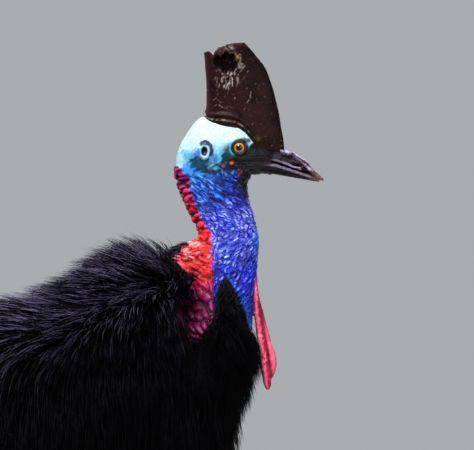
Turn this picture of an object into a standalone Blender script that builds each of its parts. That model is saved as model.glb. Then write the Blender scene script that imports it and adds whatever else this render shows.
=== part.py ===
"""A life-size cassowary standing still, built as museum-model solids.

Metres, +Z up. The bird faces +X and its right side is towards -Y.
Side-view sizes of head, neck and wattles are in drawing steps (across, down).
"""
import math
import random

import bmesh
import bpy
import numpy as np
from mathutils import Matrix, Vector
from mathutils.bvhtree import BVHTree

# Overall sizes
HEIGHT = 1.42            # top of the casque above the floor
STEP = 0.0014            # one step of the side drawing
MID_ACROSS = 237.0       # drawing column that lies MID_X in front of the middle
TOP_DOWN = 42.0          # drawing row of the casque top
MID_X = 0.402
GAP = 0.0003             # air between two nodes that meet
CUT_GROW = 0.0004        # growth of a node used to cut its neighbour
TOE_SPACE = 0.0005       # growth of a toe used to cut the shank and the other toes
SEED = 11
FLAT = math.radians(1.5) # faces that turn less than this are joined
FLAT_COAT = math.radians(2.6)
MERGE = 0.000002         # corners nearer than this are one place
PART = 0.00003           # how far touching corners are moved apart
SHARP = math.radians(38) # edges that turn more than this stay sharp

# Head, across: top, bottom, half width in mm, height share of the widest place
HEAD = (
    (175.7, 161.0, 200.0, 5.0, 0.55),
    (177.0, 154.5, 200.0, 13.0, 0.55),
    (180.0, 145.5, 200.0, 19.5, 0.56),
    (185.0, 136.5, 200.0, 25.0, 0.57),
    (190.0, 129.0, 200.0, 28.0, 0.58),
    (196.0, 121.3, 200.0, 30.5, 0.59),
    (204.0, 116.5, 200.0, 32.0, 0.60),
    (214.0, 114.0, 200.0, 32.5, 0.60),
    (224.0, 114.5, 200.0, 32.0, 0.60),
    (232.0, 117.0, 198.0, 31.0, 0.61),
    (239.0, 120.5, 190.0, 29.3, 0.61),
    (246.0, 128.0, 176.0, 26.0, 0.56),
    (254.0, 138.0, 173.6, 21.5, 0.50),
    (261.0, 141.2, 173.0, 17.5, 0.48),
    (266.0, 143.0, 173.2, 15.2, 0.48),
)
HEAD_POWER = 2.3
JAW_CUT = 173.0          # row of the flat face where the head meets the neck

# Casque, down: back, front, half width in mm
CASQUE = (
    (42.6, 230.0, 243.6, 4.0),
    (44.0, 221.0, 244.8, 7.5),
    (47.0, 211.0, 247.2, 10.0),
    (51.0, 205.6, 251.6, 12.0),
    (55.0, 204.3, 255.4, 13.2),
    (62.0, 204.6, 261.3, 14.4),
    (70.0, 205.2, 266.2, 15.3),
    (80.0, 206.0, 270.2, 16.2),
    (90.0, 206.6, 273.4, 17.0),
    (100.0, 206.6, 276.0, 18.0),
    (110.0, 205.7, 278.1, 19.0),
    (118.0, 204.6, 279.9, 20.0),
    (128.0, 204.4, 281.4, 20.5),
    (140.0, 208.0, 283.5, 19.5),
    (151.0, 214.0, 284.6, 17.0),
)
CASQUE_NOSE = 0.42       # how much narrower its front keel is
HEM = (
    (254.0, 136.5, 11.0),
    (247.0, 128.5, 15.6),
    (240.0, 122.5, 18.6),
    (232.0, 120.0, 20.8),
    (222.0, 118.8, 21.6),
    (213.0, 118.0, 20.0),
    (206.5, 116.5, 14.0),
    (203.8, 115.5, 6.0),
)
HEM_RADIUS = 0.0021
HOLLOW_AT = (227.0, 62.0)
HOLLOW_SIZE = (0.0155, 0.0085, 0.0150)
NOTCH_AT = (213.5, 46.5)
NOTCH_SIZE = (0.0021, 0.0200, 0.0108)

# Bill, across: top, bottom, half width in mm, height share of the widest place
UPPER_BILL = (
    (266.2, 143.0, 161.5, 15.2, 0.30),
    (275.0, 146.8, 162.4, 12.4, 0.30),
    (284.0, 149.8, 166.0, 10.4, 0.30),
    (292.0, 151.8, 168.3, 9.2, 0.30),
    (300.0, 156.6, 170.5, 8.0, 0.30),
    (308.0, 162.6, 173.0, 6.6, 0.30),
    (315.0, 170.8, 176.2, 4.6, 0.35),
    (320.0, 175.2, 178.9, 2.8, 0.40),
    (323.5, 178.2, 180.4, 1.2, 0.50),
)
LOWER_BILL = (
    (266.2, 161.8, 173.2, 14.2, 0.70),
    (275.0, 162.7, 174.5, 11.6, 0.70),
    (284.0, 166.3, 176.0, 9.6, 0.70),
    (292.0, 168.6, 177.4, 8.3, 0.70),
    (300.0, 170.8, 178.7, 7.0, 0.70),
    (308.0, 173.3, 180.0, 5.6, 0.70),
    (314.0, 176.0, 181.2, 4.0, 0.65),
    (318.8, 178.9, 181.9, 2.0, 0.60),
)
NOSTRIL_AT = (297.0, 165.4)
MOUTH = ((230.0, 161.2), (240.0, 161.9), (252.0, 161.7), (264.0, 161.6))
MOUTH_RADIUS = 0.0011
LIP = ((231.0, 164.0), (241.0, 164.8), (252.0, 164.6), (263.0, 164.3))
LIP_RADIUS = 0.0014

# Eye and ear
EYE_AT = (239.0, 147.5)
EYE_RADIUS = 0.0125
EYE_IN = 0.0197          # distance of the ball centre from the middle plane
LID_REACH = 0.0100
LID_THICK = 0.0022
EAR_AT = (205.0, 151.5)
EAR_REACH = 0.0058
EAR_STRETCH = 1.45

# Neck, down: back, front, half width in mm
NECK_UPPER = (
    (173.22, 176.6, 246.4, 31.0),
    (180.0, 177.2, 246.5, 30.5),
    (187.0, 179.0, 246.7, 30.0),
    (193.0, 181.2, 247.2, 29.7),
    (200.0, 184.0, 248.2, 29.5),
    (206.0, 187.0, 249.8, 29.8),
    (212.0, 190.0, 252.0, 30.3),
    (219.0, 193.2, 254.2, 31.0),
    (226.0, 196.5, 255.8, 31.8),
    (234.8, 200.0, 257.4, 33.0),
)
NECK_LOWER = (
    (235.02, 200.0, 257.4, 33.0),
    (239.0, 198.4, 257.9, 34.5),
    (244.0, 192.5, 258.0, 37.0),
    (250.0, 187.0, 258.0, 40.0),
    (260.0, 185.0, 257.0, 44.0),
    (272.0, 186.0, 255.4, 48.5),
    (286.0, 187.5, 254.7, 59.0),
    (300.0, 185.5, 254.0, 71.0),
    (315.0, 182.0, 252.6, 85.0),
    (330.0, 182.0, 251.0, 97.0),
    (343.0, 189.0, 244.0, 102.0),
    (352.0, 200.0, 232.0, 78.0),
)
NAPE_ROWS = (179.0, 186.0, 193.5, 202.0, 211.5, 222.0)
# Side folds of the red skin: across, down, long, deep in mm, lean in degrees
SIDE_FOLDS = (
    (184.5, 252.0, 14.5, 7.5, 28.0),
    (189.0, 262.0, 14.0, 7.0, 40.0),
    (199.5, 251.0, 13.0, 6.5, 52.0),
    (198.0, 272.0, 14.0, 6.0, 58.0),
)
LOBE_ROWS = (290.0, 303.0, 316.0, 329.0)
LOBE_SIZE = (0.0095, 0.0058)

# Wattles, down: back, front, half width in mm
NEAR_WATTLE = (
    (272.0, 254.0, 256.8, 2.0),
    (285.0, 253.8, 257.8, 2.8),
    (300.0, 253.6, 259.0, 4.0),
    (315.0, 254.2, 260.3, 5.4),
    (330.0, 256.0, 262.4, 6.6),
    (345.0, 257.7, 265.6, 7.8),
    (360.0, 260.0, 268.0, 8.6),
    (372.0, 262.0, 269.6, 8.4),
    (382.0, 263.6, 270.2, 6.8),
    (387.0, 265.6, 269.8, 4.4),
    (389.4, 267.2, 268.8, 1.2),
)
FAR_WATTLE = (
    (272.0, 254.0, 256.8, 2.0),
    (285.0, 253.8, 257.8, 2.8),
    (300.0, 253.8, 259.0, 4.2),
    (315.0, 255.0, 261.6, 5.6),
    (330.0, 257.6, 266.0, 7.2),
    (345.0, 261.0, 271.2, 8.6),
    (358.0, 264.4, 275.6, 9.2),
    (367.0, 265.8, 276.2, 8.6),
    (374.0, 266.2, 274.4, 6.6),
    (378.0, 267.0, 272.0, 4.2),
    (380.0, 268.0, 270.0, 1.2),
)
WATTLE_OUT = 0.0105      # distance of each wattle from the middle plane

# Torso core, x: low, high, half width in metres
TORSO = (
    (-0.487, 0.655, 0.735, 0.040),
    (-0.452, 0.625, 0.790, 0.080),
    (-0.397, 0.606, 0.850, 0.118),
    (-0.317, 0.606, 0.910, 0.152),
    (-0.217, 0.620, 0.960, 0.182),
    (-0.117, 0.635, 0.994, 0.199),
    (-0.017, 0.652, 1.014, 0.203),
    (0.073, 0.672, 1.026, 0.197),
    (0.143, 0.695, 1.050, 0.186),
    (0.203, 0.722, 1.083, 0.171),
    (0.253, 0.752, 1.099, 0.154),
    (0.293, 0.780, 1.107, 0.138),
    (0.323, 0.806, 1.098, 0.124),
    (0.353, 0.838, 1.074, 0.111),
    (0.378, 0.874, 1.044, 0.092),
    (0.393, 0.912, 1.018, 0.062),
    (0.400, 0.940, 1.000, 0.034),
)
TORSO_WIDE = 0.45        # height share of its widest place

# Plumage locks
LOCK_STEP = 0.0050       # how much higher every second lock lies
LOCK_LOOSE = 0.35        # share of its straight run a lock keeps where the body falls away
LOCK_HANG = 0.30
LOCK_DROP = 0.06         # depth below the back over which the lie turns down
EDGE_SHARE = 0.55        # height of a lock's edges as a share of its middle
# Along a lock: share of its length, of its width, of its thickness, height over the core
LONG_LOCK = (
    (0.0, 0.62, 1.0, -0.009), (0.34, 1.0, 1.0, 0.009), (0.72, 0.76, 0.8, 0.016), (1.0, 0.0, 0.0, 0.020))
SHORT_LOCK = ((0.0, 0.70, 1.0, -0.008), (0.50, 1.0, 0.9, 0.009), (1.0, 0.0, 0.0, 0.016))
COLLAR_LOCK = ((0.0, 0.75, 1.0, -0.0035), (0.50, 1.0, 0.9, 0.007), (1.0, 0.0, 0.0, 0.013))
LEG_LOCK = ((0.0, 0.70, 1.0, -0.006), (0.50, 1.0, 0.9, 0.006), (1.0, 0.0, 0.0, 0.011))
# Lock sizes: length, width, thickness, shape
LOCK_SMALL = (0.140, 0.080, 0.005, SHORT_LOCK)
LOCK_MEDIUM = (0.225, 0.118, 0.006, LONG_LOCK)
LOCK_LONG = (0.240, 0.116, 0.006, LONG_LOCK)
LOCK_RUMP = (0.180, 0.098, 0.006, SHORT_LOCK)
LOCK_THIGH = (0.120, 0.054, 0.006, LEG_LOCK)
LOCK_COLLAR = (0.130, 0.056, 0.005, COLLAR_LOCK)
COLLAR_LOCKS = 14
COLLAR_SPREAD = 0.8      # how strongly the collar fans out from the neck
# Rows of locks from the breast to the rump: x, spacing, size
LOCK_ROWS = (
    (0.380, 0.086, LOCK_SMALL),
    (0.332, 0.086, LOCK_SMALL),
    (0.272, 0.092, LOCK_SMALL),
    (0.200, 0.126, LOCK_MEDIUM),
    (0.104, 0.134, LOCK_MEDIUM),
    (0.002, 0.134, LOCK_MEDIUM),
    (-0.102, 0.130, LOCK_LONG),
    (-0.208, 0.128, LOCK_LONG),
    (-0.314, 0.116, LOCK_LONG),
    (-0.414, 0.108, LOCK_RUMP),
)

# Wing
WING_AT = (0.173, 0.157, 0.842)
WING_SIZE = (0.042, 0.020, 0.020)
WING_LEAN = 30.0
# Quills: length, turn back from straight down in degrees
QUILLS = ((0.185, 8.0), (0.220, 17.0), (0.245, 26.0), (0.235, 35.0), (0.205, 44.0))
QUILL_RADIUS = 0.0026
QUILL_BOW = 0.052        # how far the quills bow out from the body

# Legs, order along the limb: x, z, half depth, half width
LEG_Y = 0.098
THIGH = (
    (0.0, 0.063, 0.700, 0.078, 0.058),
    (1.0, 0.028, 0.640, 0.080, 0.060),
    (2.0, -0.012, 0.575, 0.068, 0.053),
    (3.0, -0.052, 0.510, 0.051, 0.042),
    (4.0, -0.087, 0.455, 0.036, 0.032),
    (5.0, -0.1040, 0.4282, 0.030, 0.027),
)
TARSUS = (
    (0.0, -0.1042, 0.4278, 0.0295, 0.0265),
    (1.0, -0.1205, 0.4010, 0.0290, 0.0260),
    (2.0, -0.1320, 0.3700, 0.0340, 0.0310),
    (3.0, -0.1255, 0.3330, 0.0285, 0.0275),
    (4.0, -0.1090, 0.2620, 0.0225, 0.0215),
    (5.0, -0.0905, 0.1820, 0.0215, 0.0205),
    (6.0, -0.0740, 0.1100, 0.0235, 0.0235),
    (7.0, -0.0640, 0.0620, 0.0275, 0.0310),
    (8.0, -0.0590, 0.0300, 0.0290, 0.0340),
)
TARSUS_SCUTES = 8
SCUTES_FROM = 0.066      # along a toe, clear of the shank
# Toes: start x, start y from the leg, turn in degrees, scutes
TOES = {
    "middle": (-0.090, 0.000, 0.0, 5),
    "outer": (-0.080, -0.013, -27.0, 4),
    "inner": (-0.080, 0.013, 21.0, 3),
}
# Along the toe: half width, height
TOE_SHAPES = {
    "middle": (
        (0.000, 0.0130, 0.028),
        (0.015, 0.0185, 0.040),
        (0.045, 0.0200, 0.043),
        (0.075, 0.0175, 0.034),
        (0.098, 0.0180, 0.034),
        (0.122, 0.0155, 0.028),
        (0.143, 0.0155, 0.028),
        (0.165, 0.0105, 0.019),
    ),
    "outer": (
        (0.000, 0.0120, 0.026),
        (0.015, 0.0165, 0.036),
        (0.040, 0.0175, 0.037),
        (0.065, 0.0155, 0.030),
        (0.085, 0.0155, 0.030),
        (0.108, 0.0135, 0.025),
        (0.130, 0.0095, 0.017),
    ),
    "inner": (
        (0.000, 0.0120, 0.026),
        (0.015, 0.0165, 0.036),
        (0.040, 0.0180, 0.038),
        (0.062, 0.0160, 0.032),
        (0.085, 0.0160, 0.030),
        (0.105, 0.0120, 0.024),
    ),
}
# Claws: length, half width, half height at the root, bow upward
CLAWS = {
    "middle": (0.046, 0.0080, 0.0075, 0.004),
    "outer": (0.038, 0.0070, 0.0066, 0.003),
    "inner": (0.112, 0.0095, 0.0100, 0.005),
}

# Colours of the materials
COLOURS = {
    "casque_horn": (0.075, 0.045, 0.035, 0.42),
    "bill_horn": (0.025, 0.023, 0.027, 0.38),
    "head_skin": (0.16, 0.50, 0.56, 0.55),
    "neck_skin": (0.05, 0.14, 0.50, 0.55),
    "nape_skin": (0.55, 0.06, 0.05, 0.50),
    "wattle_skin": (0.50, 0.05, 0.08, 0.45),
    "eye_gloss": (0.60, 0.20, 0.02, 0.05),
    "plumage": (0.012, 0.012, 0.014, 0.60),
    "quill_horn": (0.010, 0.010, 0.012, 0.35),
    "leg_scale": (0.17, 0.18, 0.15, 0.60),
    "claw_horn": (0.045, 0.040, 0.035, 0.35),
}


def sx(across):
    """Side-drawing column as metres along X."""
    return MID_X + STEP * (across - MID_ACROSS)


def sz(down):
    """Side-drawing row as metres above the floor."""
    return HEIGHT - STEP * (down - TOP_DOWN)


def smooth(table, keys):
    """Rows of a table at the given keys of its first column, as a smooth curve."""
    rows = np.array(table, float)
    known = rows[:, 0]
    slopes = np.gradient(rows, known, axis=0)
    keys = np.asarray(keys, float)
    low = np.clip(np.searchsorted(known, keys, side="right") - 1, 0, len(known) - 2)
    span = (known[low + 1] - known[low])[:, None]
    t = (keys - known[low])[:, None] / span
    near = rows[low] * (1 + 2 * t) * (1 - t) ** 2 + slopes[low] * span * t * (1 - t) ** 2
    far = rows[low + 1] * t * t * (3 - 2 * t) + slopes[low + 1] * span * t * t * (t - 1)
    return near + far


def signed_power(value, power):
    """A cosine or sine bent to the wanted squareness."""
    return math.copysign(abs(value) ** (2.0 / power), value)


def solid(name, verts, faces):
    """Closed object from corners and faces, turned outward."""
    mesh = bpy.data.meshes.new(name)
    mesh.from_pydata([tuple(v) for v in verts], [], faces)
    work = bmesh.new()
    work.from_mesh(mesh)
    bmesh.ops.recalc_face_normals(work, faces=work.faces)
    if work.calc_volume(signed=True) < 0:
        bmesh.ops.reverse_faces(work, faces=work.faces)
    bmesh.ops.triangulate(work, faces=work.faces)
    work.to_mesh(mesh)
    work.free()
    return bpy.data.objects.new(name, mesh)


def loft(name, rings):
    """Closed skin over rings of equal length with a cap on each end."""
    count = len(rings[0])
    verts = [point for ring in rings for point in ring]
    faces = []
    for i in range(len(rings) - 1):
        for j in range(count):
            k = (j + 1) % count
            faces.append((i * count + j, i * count + k, (i + 1) * count + k, (i + 1) * count + j))
    faces.append(tuple(range(count)))
    faces.append(tuple(range(len(verts) - count, len(verts))))
    return solid(name, verts, faces)


def level_ring(z, back, front, half, nose=0.0, count=20, middle=0.0):
    """Flat ring at height z; nose makes its front end narrower."""
    ring = []
    for j in range(count):
        angle = 2 * math.pi * j / count
        x = (back + front) / 2 + (front - back) / 2 * math.cos(angle)
        y = middle + half * math.sin(angle) * (1 - nose * math.cos(angle))
        ring.append((x, y, z))
    return ring


def level_loft(name, table, count=20, nose=0.0, middle=0.0, rows=None):
    """Loft over level rings of a down-table of the side drawing."""
    keys = rows or [row[0] for row in table]
    rings = []
    for down, back, front, half in smooth(table, keys):
        rings.append(level_ring(sz(down), sx(back), sx(front), half / 1000, nose, count, middle))
    return loft(name, rings)


def upright_point(x, low, high, half, wide, power, angle):
    """Point of an upright cross-section that is widest at a share of its height."""
    middle = low + wide * (high - low)
    rise = signed_power(math.sin(angle), power)
    reach = (high - middle) if rise > 0 else (middle - low)
    return (x, half * signed_power(math.cos(angle), power), middle + rise * reach)


def upright_loft(name, sections, power=2.0, count=20):
    """Loft over upright sections given as x, low, high, half, wide."""
    rings = []
    for x, low, high, half, wide in sections:
        ring = []
        for j in range(count):
            angle = 2 * math.pi * (j + 0.5) / count
            ring.append(upright_point(x, low, high, half, wide, power, angle))
        rings.append(ring)
    return loft(name, rings)


def side_sections(table, keys=None):
    """Upright sections of an across-table of the side drawing."""
    keys = keys or [row[0] for row in table]
    sections = []
    for across, top, bottom, half, wide in smooth(table, keys):
        sections.append((sx(across), sz(bottom), sz(top), half / 1000, wide))
    return sections


def head_side(across, down, out=0.0):
    """Half width of the head at a place of its side, plus out."""
    x, low, high, half, wide = side_sections(HEAD, [across])[0]
    middle = low + wide * (high - low)
    z = sz(down)
    reach = (high - middle) if z > middle else (middle - low)
    share = min(abs(z - middle) / reach, 0.999)
    return half * (1 - share ** HEAD_POWER) ** (1 / HEAD_POWER) + out


def ball(name, centre, radii, lean=0.0, segments=6, rings=4):
    """Small closed ball with three radii, leaning in the side view."""
    work = bmesh.new()
    bmesh.ops.create_uvsphere(work, u_segments=segments, v_segments=rings, radius=1.0)
    turn = Matrix.Rotation(math.radians(lean), 4, "Y")
    scale = Matrix.Diagonal((radii[0], radii[1], radii[2], 1.0))
    bmesh.ops.transform(work, matrix=Matrix.Translation(centre) @ turn @ scale, verts=work.verts)
    bmesh.ops.triangulate(work, faces=work.faces)
    mesh = bpy.data.meshes.new(name)
    work.to_mesh(mesh)
    work.free()
    return bpy.data.objects.new(name, mesh)


def hoop(name, centre, reach, thick, stretch=1.0, around=16, sides=5):
    """Ring standing in the side view, stretched upward."""
    bpy.ops.mesh.primitive_torus_add(
        major_segments=around, minor_segments=sides, major_radius=reach, minor_radius=thick)
    ring = bpy.context.object
    ring.name = name
    turn = Matrix.Rotation(math.radians(90), 4, "X")
    scale = Matrix.Diagonal((1.0, 1.0, stretch, 1.0))
    ring.data.transform(Matrix.Translation(centre) @ scale @ turn)
    for holder in list(ring.users_collection):
        holder.objects.unlink(ring)
    work = bmesh.new()
    work.from_mesh(ring.data)
    bmesh.ops.recalc_face_normals(work, faces=work.faces)
    bmesh.ops.triangulate(work, faces=work.faces)
    work.to_mesh(ring.data)
    work.free()
    return ring


def rod(name, points, radii, resolution=1):
    """Bent rod along points, a curve with a round bevel and filled ends."""
    curve = bpy.data.curves.new(name, "CURVE")
    curve.dimensions = "3D"
    curve.bevel_depth = 1.0
    curve.bevel_resolution = resolution
    curve.use_fill_caps = True
    spline = curve.splines.new("POLY")
    spline.points.add(len(points) - 1)
    for place, point, radius in zip(spline.points, points, radii):
        place.co = (point[0], point[1], point[2], 1.0)
        place.radius = radius
    holder = bpy.data.objects.new(name + "_path", curve)
    bpy.context.scene.collection.objects.link(holder)
    mesh = bpy.data.meshes.new_from_object(holder.evaluated_get(fresh_graph()))
    bpy.data.objects.remove(holder)
    work = bmesh.new()
    work.from_mesh(mesh)
    bmesh.ops.remove_doubles(work, verts=work.verts, dist=0.00002)
    bmesh.ops.recalc_face_normals(work, faces=work.faces)
    work.to_mesh(mesh)
    work.free()
    return bpy.data.objects.new(name, mesh)


def fresh_graph():
    """Evaluated scene after the newest changes."""
    bpy.context.view_layer.update()
    return bpy.context.evaluated_depsgraph_get()


def use_group(node, pieces, operation, solver):
    """One Boolean of a node with a collection of closed pieces, applied."""
    if not pieces:
        return node
    group = bpy.data.collections.new(node.name + "_group")
    bpy.context.scene.collection.children.link(group)
    for piece in pieces:
        group.objects.link(piece)
    bpy.context.scene.collection.objects.link(node)
    change = node.modifiers.new("change", "BOOLEAN")
    change.operation = operation
    change.operand_type = "COLLECTION"
    change.collection = group
    change.solver = solver
    mesh = bpy.data.meshes.new_from_object(node.evaluated_get(fresh_graph()))
    node.modifiers.clear()
    node.data = mesh
    bpy.context.scene.collection.objects.unlink(node)
    for piece in pieces:
        bpy.data.objects.remove(piece)
    bpy.data.collections.remove(group)
    return keep_largest(node)


def fuse(node, pieces, solver="EXACT"):
    """Union of a node with its forms."""
    return use_group(node, pieces, "UNION", solver)


def cut(node, pieces, solver="EXACT"):
    """Node without the space of the pieces."""
    return use_group(node, pieces, "DIFFERENCE", solver)


def keep_largest(node):
    """Keep only the largest closed surface of a node."""
    work = bmesh.new()
    work.from_mesh(node.data)
    drop_small_surfaces(work)
    work.to_mesh(node.data)
    work.free()
    return node


def drop_small_surfaces(work):
    """Delete every closed surface but the one with the most faces."""
    left = set(work.faces)
    parts = []
    while left:
        queue = [left.pop()]
        part = []
        while queue:
            face = queue.pop()
            part.append(face)
            for edge in face.edges:
                for other in edge.link_faces:
                    if other in left:
                        left.discard(other)
                        queue.append(other)
        parts.append(part)
    parts.sort(key=len)
    for part in parts[:-1]:
        bmesh.ops.delete(work, geom=part, context="FACES")


def grown(node, amount=CUT_GROW):
    """Copy of a node moved outward a little, to cut a neighbour."""
    copy = bpy.data.objects.new(node.name + "_grown", node.data.copy())
    bpy.context.scene.collection.objects.link(copy)
    swell = copy.modifiers.new("swell", "DISPLACE")
    swell.strength = amount
    swell.mid_level = 0.0
    mesh = bpy.data.meshes.new_from_object(copy.evaluated_get(fresh_graph()))
    copy.modifiers.clear()
    copy.data = mesh
    bpy.context.scene.collection.objects.unlink(copy)
    return copy


def block(name, low, high):
    """Plain box used as a cutter."""
    work = bmesh.new()
    bmesh.ops.create_cube(work, size=1.0)
    low = Vector(low)
    high = Vector(high)
    size = Matrix.Diagonal((high - low).to_4d())
    size[3][3] = 1.0
    bmesh.ops.transform(work, matrix=Matrix.Translation((low + high) / 2) @ size, verts=work.verts)
    bmesh.ops.triangulate(work, faces=work.faces)
    mesh = bpy.data.meshes.new(name)
    work.to_mesh(mesh)
    work.free()
    return bpy.data.objects.new(name, mesh)


def surface_tree(node):
    """Search tree over the surface of a node."""
    mesh = node.data
    verts = [v.co.copy() for v in mesh.vertices]
    return BVHTree.FromPolygons(verts, [tuple(p.vertices) for p in mesh.polygons])


def make_head():
    """Head with ear cups, lids, line of mouth and lips."""
    keys = [175.7, 177, 180, 185, 190, 196, 204, 214, 224, 232, 239, 246, 254, 261, 266]
    node = upright_loft("head", side_sections(HEAD, keys), HEAD_POWER, 20)
    forms = []
    cutters = [block("neck_face", (0, -1, 0), (1, 1, sz(JAW_CUT)))]
    for side in (-1, 1):
        eye = eye_centre(side)
        plane = side * head_side(*EYE_AT)
        forms.append(hoop("lid", (eye[0], plane, eye[2]), LID_REACH, LID_THICK, 0.94, 14, 4))
        cutters.append(eyeball("socket", side, EYE_RADIUS + GAP))
        ear = (sx(EAR_AT[0]), side * head_side(*EAR_AT), sz(EAR_AT[1]))
        forms.append(hoop("ear_rim", ear, EAR_REACH, 0.0017, EAR_STRETCH, 10, 4))
        cutters.append(ball("ear_cup", ear, (0.0036, 0.0050, 0.0058), 0.0, 8, 4))
        points = [(sx(u), side * head_side(u, v, 0.0002), sz(v)) for u, v in MOUTH]
        cutters.append(rod("mouth_line", points, [MOUTH_RADIUS] * len(points), 0))
        points = [(sx(u), side * head_side(u, v, -0.0004), sz(v)) for u, v in LIP]
        radii = [0.0007, LIP_RADIUS, LIP_RADIUS, 0.0007]
        forms.append(rod("lip", points, radii, 0))
    return cut(fuse(node, forms), cutters)


def eye_centre(side):
    """Centre of an eyeball."""
    return Vector((sx(EYE_AT[0]), side * EYE_IN, sz(EYE_AT[1])))


def eyeball(name, side, radius=EYE_RADIUS):
    """Eyeball, also used a little larger to cut its socket."""
    made = ball(name, (0, 0, 0), (radius,) * 3, 0.0, 12, 8)
    made.data.transform(Matrix.Rotation(math.radians(90), 4, "X"))
    made.data.transform(Matrix.Translation(eye_centre(side)))
    return made


def make_casque(neighbours):
    """Tall casque with a hem, a broken hollow on its right and a notch."""
    rows = [42.6, 44, 47, 51, 55, 62, 70, 80, 90, 100, 110, 118, 128, 140, 151]
    node = level_loft("casque", CASQUE, 20, CASQUE_NOSE, 0.0, rows)
    points = [(sx(u), -y / 1000, sz(v)) for u, v, y in HEM]
    points += [(sx(u), y / 1000, sz(v)) for u, v, y in reversed(HEM)]
    node = fuse(node, [rod("hem", points, [HEM_RADIUS] * len(points), 0)])
    hollow = (sx(HOLLOW_AT[0]), -0.0165, sz(HOLLOW_AT[1]))
    notch = (sx(NOTCH_AT[0]), 0.0, sz(NOTCH_AT[1]))
    cutters = [
        ball("hollow", hollow, HOLLOW_SIZE, -8.0, 12, 8),
        ball("notch", notch, NOTCH_SIZE, 12.0, 8, 6),
    ]
    for other in neighbours:
        cutters.append(grown(other))
    return cut(node, cutters)


def make_bill(name, table):
    """Half of the bill as a loft from the face to the tip."""
    return upright_loft(name, side_sections(table), 2.0, 14)


def make_upper_bill():
    """Upper bill with a long nostril on each side."""
    node = make_bill("upper_bill", UPPER_BILL)
    slots = []
    for side in (-1, 1):
        place = (sx(NOSTRIL_AT[0]), side * 0.0088, sz(NOSTRIL_AT[1]))
        slots.append(ball("nostril", place, (0.0065, 0.0022, 0.0012), 6.0, 10, 6))
    return cut(node, slots)


def make_neck_upper():
    """Upper neck with cross folds down the nape."""
    node = level_loft("neck_upper", NECK_UPPER, 18)
    folds = []
    for row in NAPE_ROWS:
        _, back, _, half = smooth(NECK_UPPER, [row])[0]
        place = (sx(back) + 0.0068, 0.0, sz(row))
        folds.append(ball("nape_fold", place, (0.0088, half / 1000 * 0.66, 0.0052), -16.0, 8, 4))
    return fuse(node, folds)


def neck_side(across, down, out=0.0):
    """Half width of the lower neck at a place of its side, plus out."""
    _, back, front, half = smooth(NECK_LOWER, [down])[0]
    middle = (back + front) / 2
    share = min(abs(across - middle) / ((front - back) / 2), 0.985)
    return half / 1000 * math.sqrt(1 - share * share) + out


def neck_core():
    """Lower neck without its folds and lobes."""
    return level_loft("neck_lower", NECK_LOWER, 20)


def make_neck_lower():
    """Lower neck with the red side folds and rows of lobes."""
    node = neck_core()
    forms = []
    for side in (-1, 1):
        for across, down, long, deep, lean in SIDE_FOLDS:
            y = side * neck_side(max(across, 190.0), down, -0.001)
            radii = (long / 1000, deep / 1000, deep / 1200)
            forms.append(ball("side_fold", (sx(across), y, sz(down)), radii, -lean, 8, 4))
        for number, row in enumerate(LOBE_ROWS):
            for place in range(3 if number == 1 else 2):
                across = 197.5 + 9.5 * place - (4.5 if number % 2 else 0.0)
                y = side * neck_side(across, row, -0.0005)
                radii = (LOBE_SIZE[0], 0.0065, LOBE_SIZE[1])
                forms.append(ball("lobe", (sx(across), y, sz(row)), radii, 24.0, 6, 4))
    return fuse(node, forms)


def make_wattle(name, table, side, neighbours):
    """Hanging wattle with bulbs down its length."""
    middle = side * WATTLE_OUT
    node = level_loft(name, table, 12, 0.0, middle)
    bulbs = []
    for number, row in enumerate((326.0, 341.0, 356.0, 369.0)):
        _, back, front, half = smooth(table, [row])[0]
        across = back + (front - back) * (0.35 if number % 2 else 0.65)
        y = middle + side * half / 1000 * 0.55
        bulbs.append(ball("bulb", (sx(across), y, sz(row)), (0.0046, 0.0044, 0.0078), -14.0, 6, 4))
    node = fuse(node, bulbs)
    return cut(node, [grown(other) for other in neighbours])


def torso_sections(keys):
    """Upright sections of the torso core."""
    return [(x, low, high, half, TORSO_WIDE) for x, low, high, half in smooth(TORSO, keys)]


def torso_drift(spot):
    """Lie of the plumage at a place: back along the spine, turning down lower."""
    _, _, high, _ = smooth(TORSO, [min(max(spot.x, TORSO[0][0]), TORSO[-1][0])])[0]
    depth = max(0.0, high - spot.z)
    angle = math.radians(12 + 76 * (1 - math.exp(-depth / LOCK_DROP)))
    return Vector((-math.cos(angle), 0.0, -math.sin(angle)))


def lay_lock(tree, start, drift, size, raised=0.0):
    """Flat tapered lock, root sunk in the core, bent along its lie and across."""
    length, width, thick, shape = size
    spot, normal, _, _ = tree.find_nearest(start)
    here = spot.copy()
    rows = [(spot + normal * shape[0][3], normal, shape[0])]
    for before, row in zip(shape[:-1], shape[1:]):
        way = lie_at(drift(here), normal)
        ahead = here + way * length * (row[0] - before[0])
        near, normal, _, _ = tree.find_nearest(ahead)
        height = (ahead - near).dot(normal)
        lift = row[3] + raised
        here = near + normal * (lift + LOCK_LOOSE * max(0.0, height - lift))
        rows.append((here.copy(), normal, row))
    return strip(tree, rows, width, thick)


def lie_at(drift, normal):
    """Way a lock runs over a surface, hanging a little free on the underside."""
    lean = drift.dot(normal)
    way = drift - normal * lean
    back = Vector((-1.0, 0.0, 0.0))
    way += (back - normal * back.dot(normal)) * max(0.0, 1.0 - way.length)
    return (way.normalized() + normal * LOCK_HANG * max(0.0, lean)).normalized()


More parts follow.
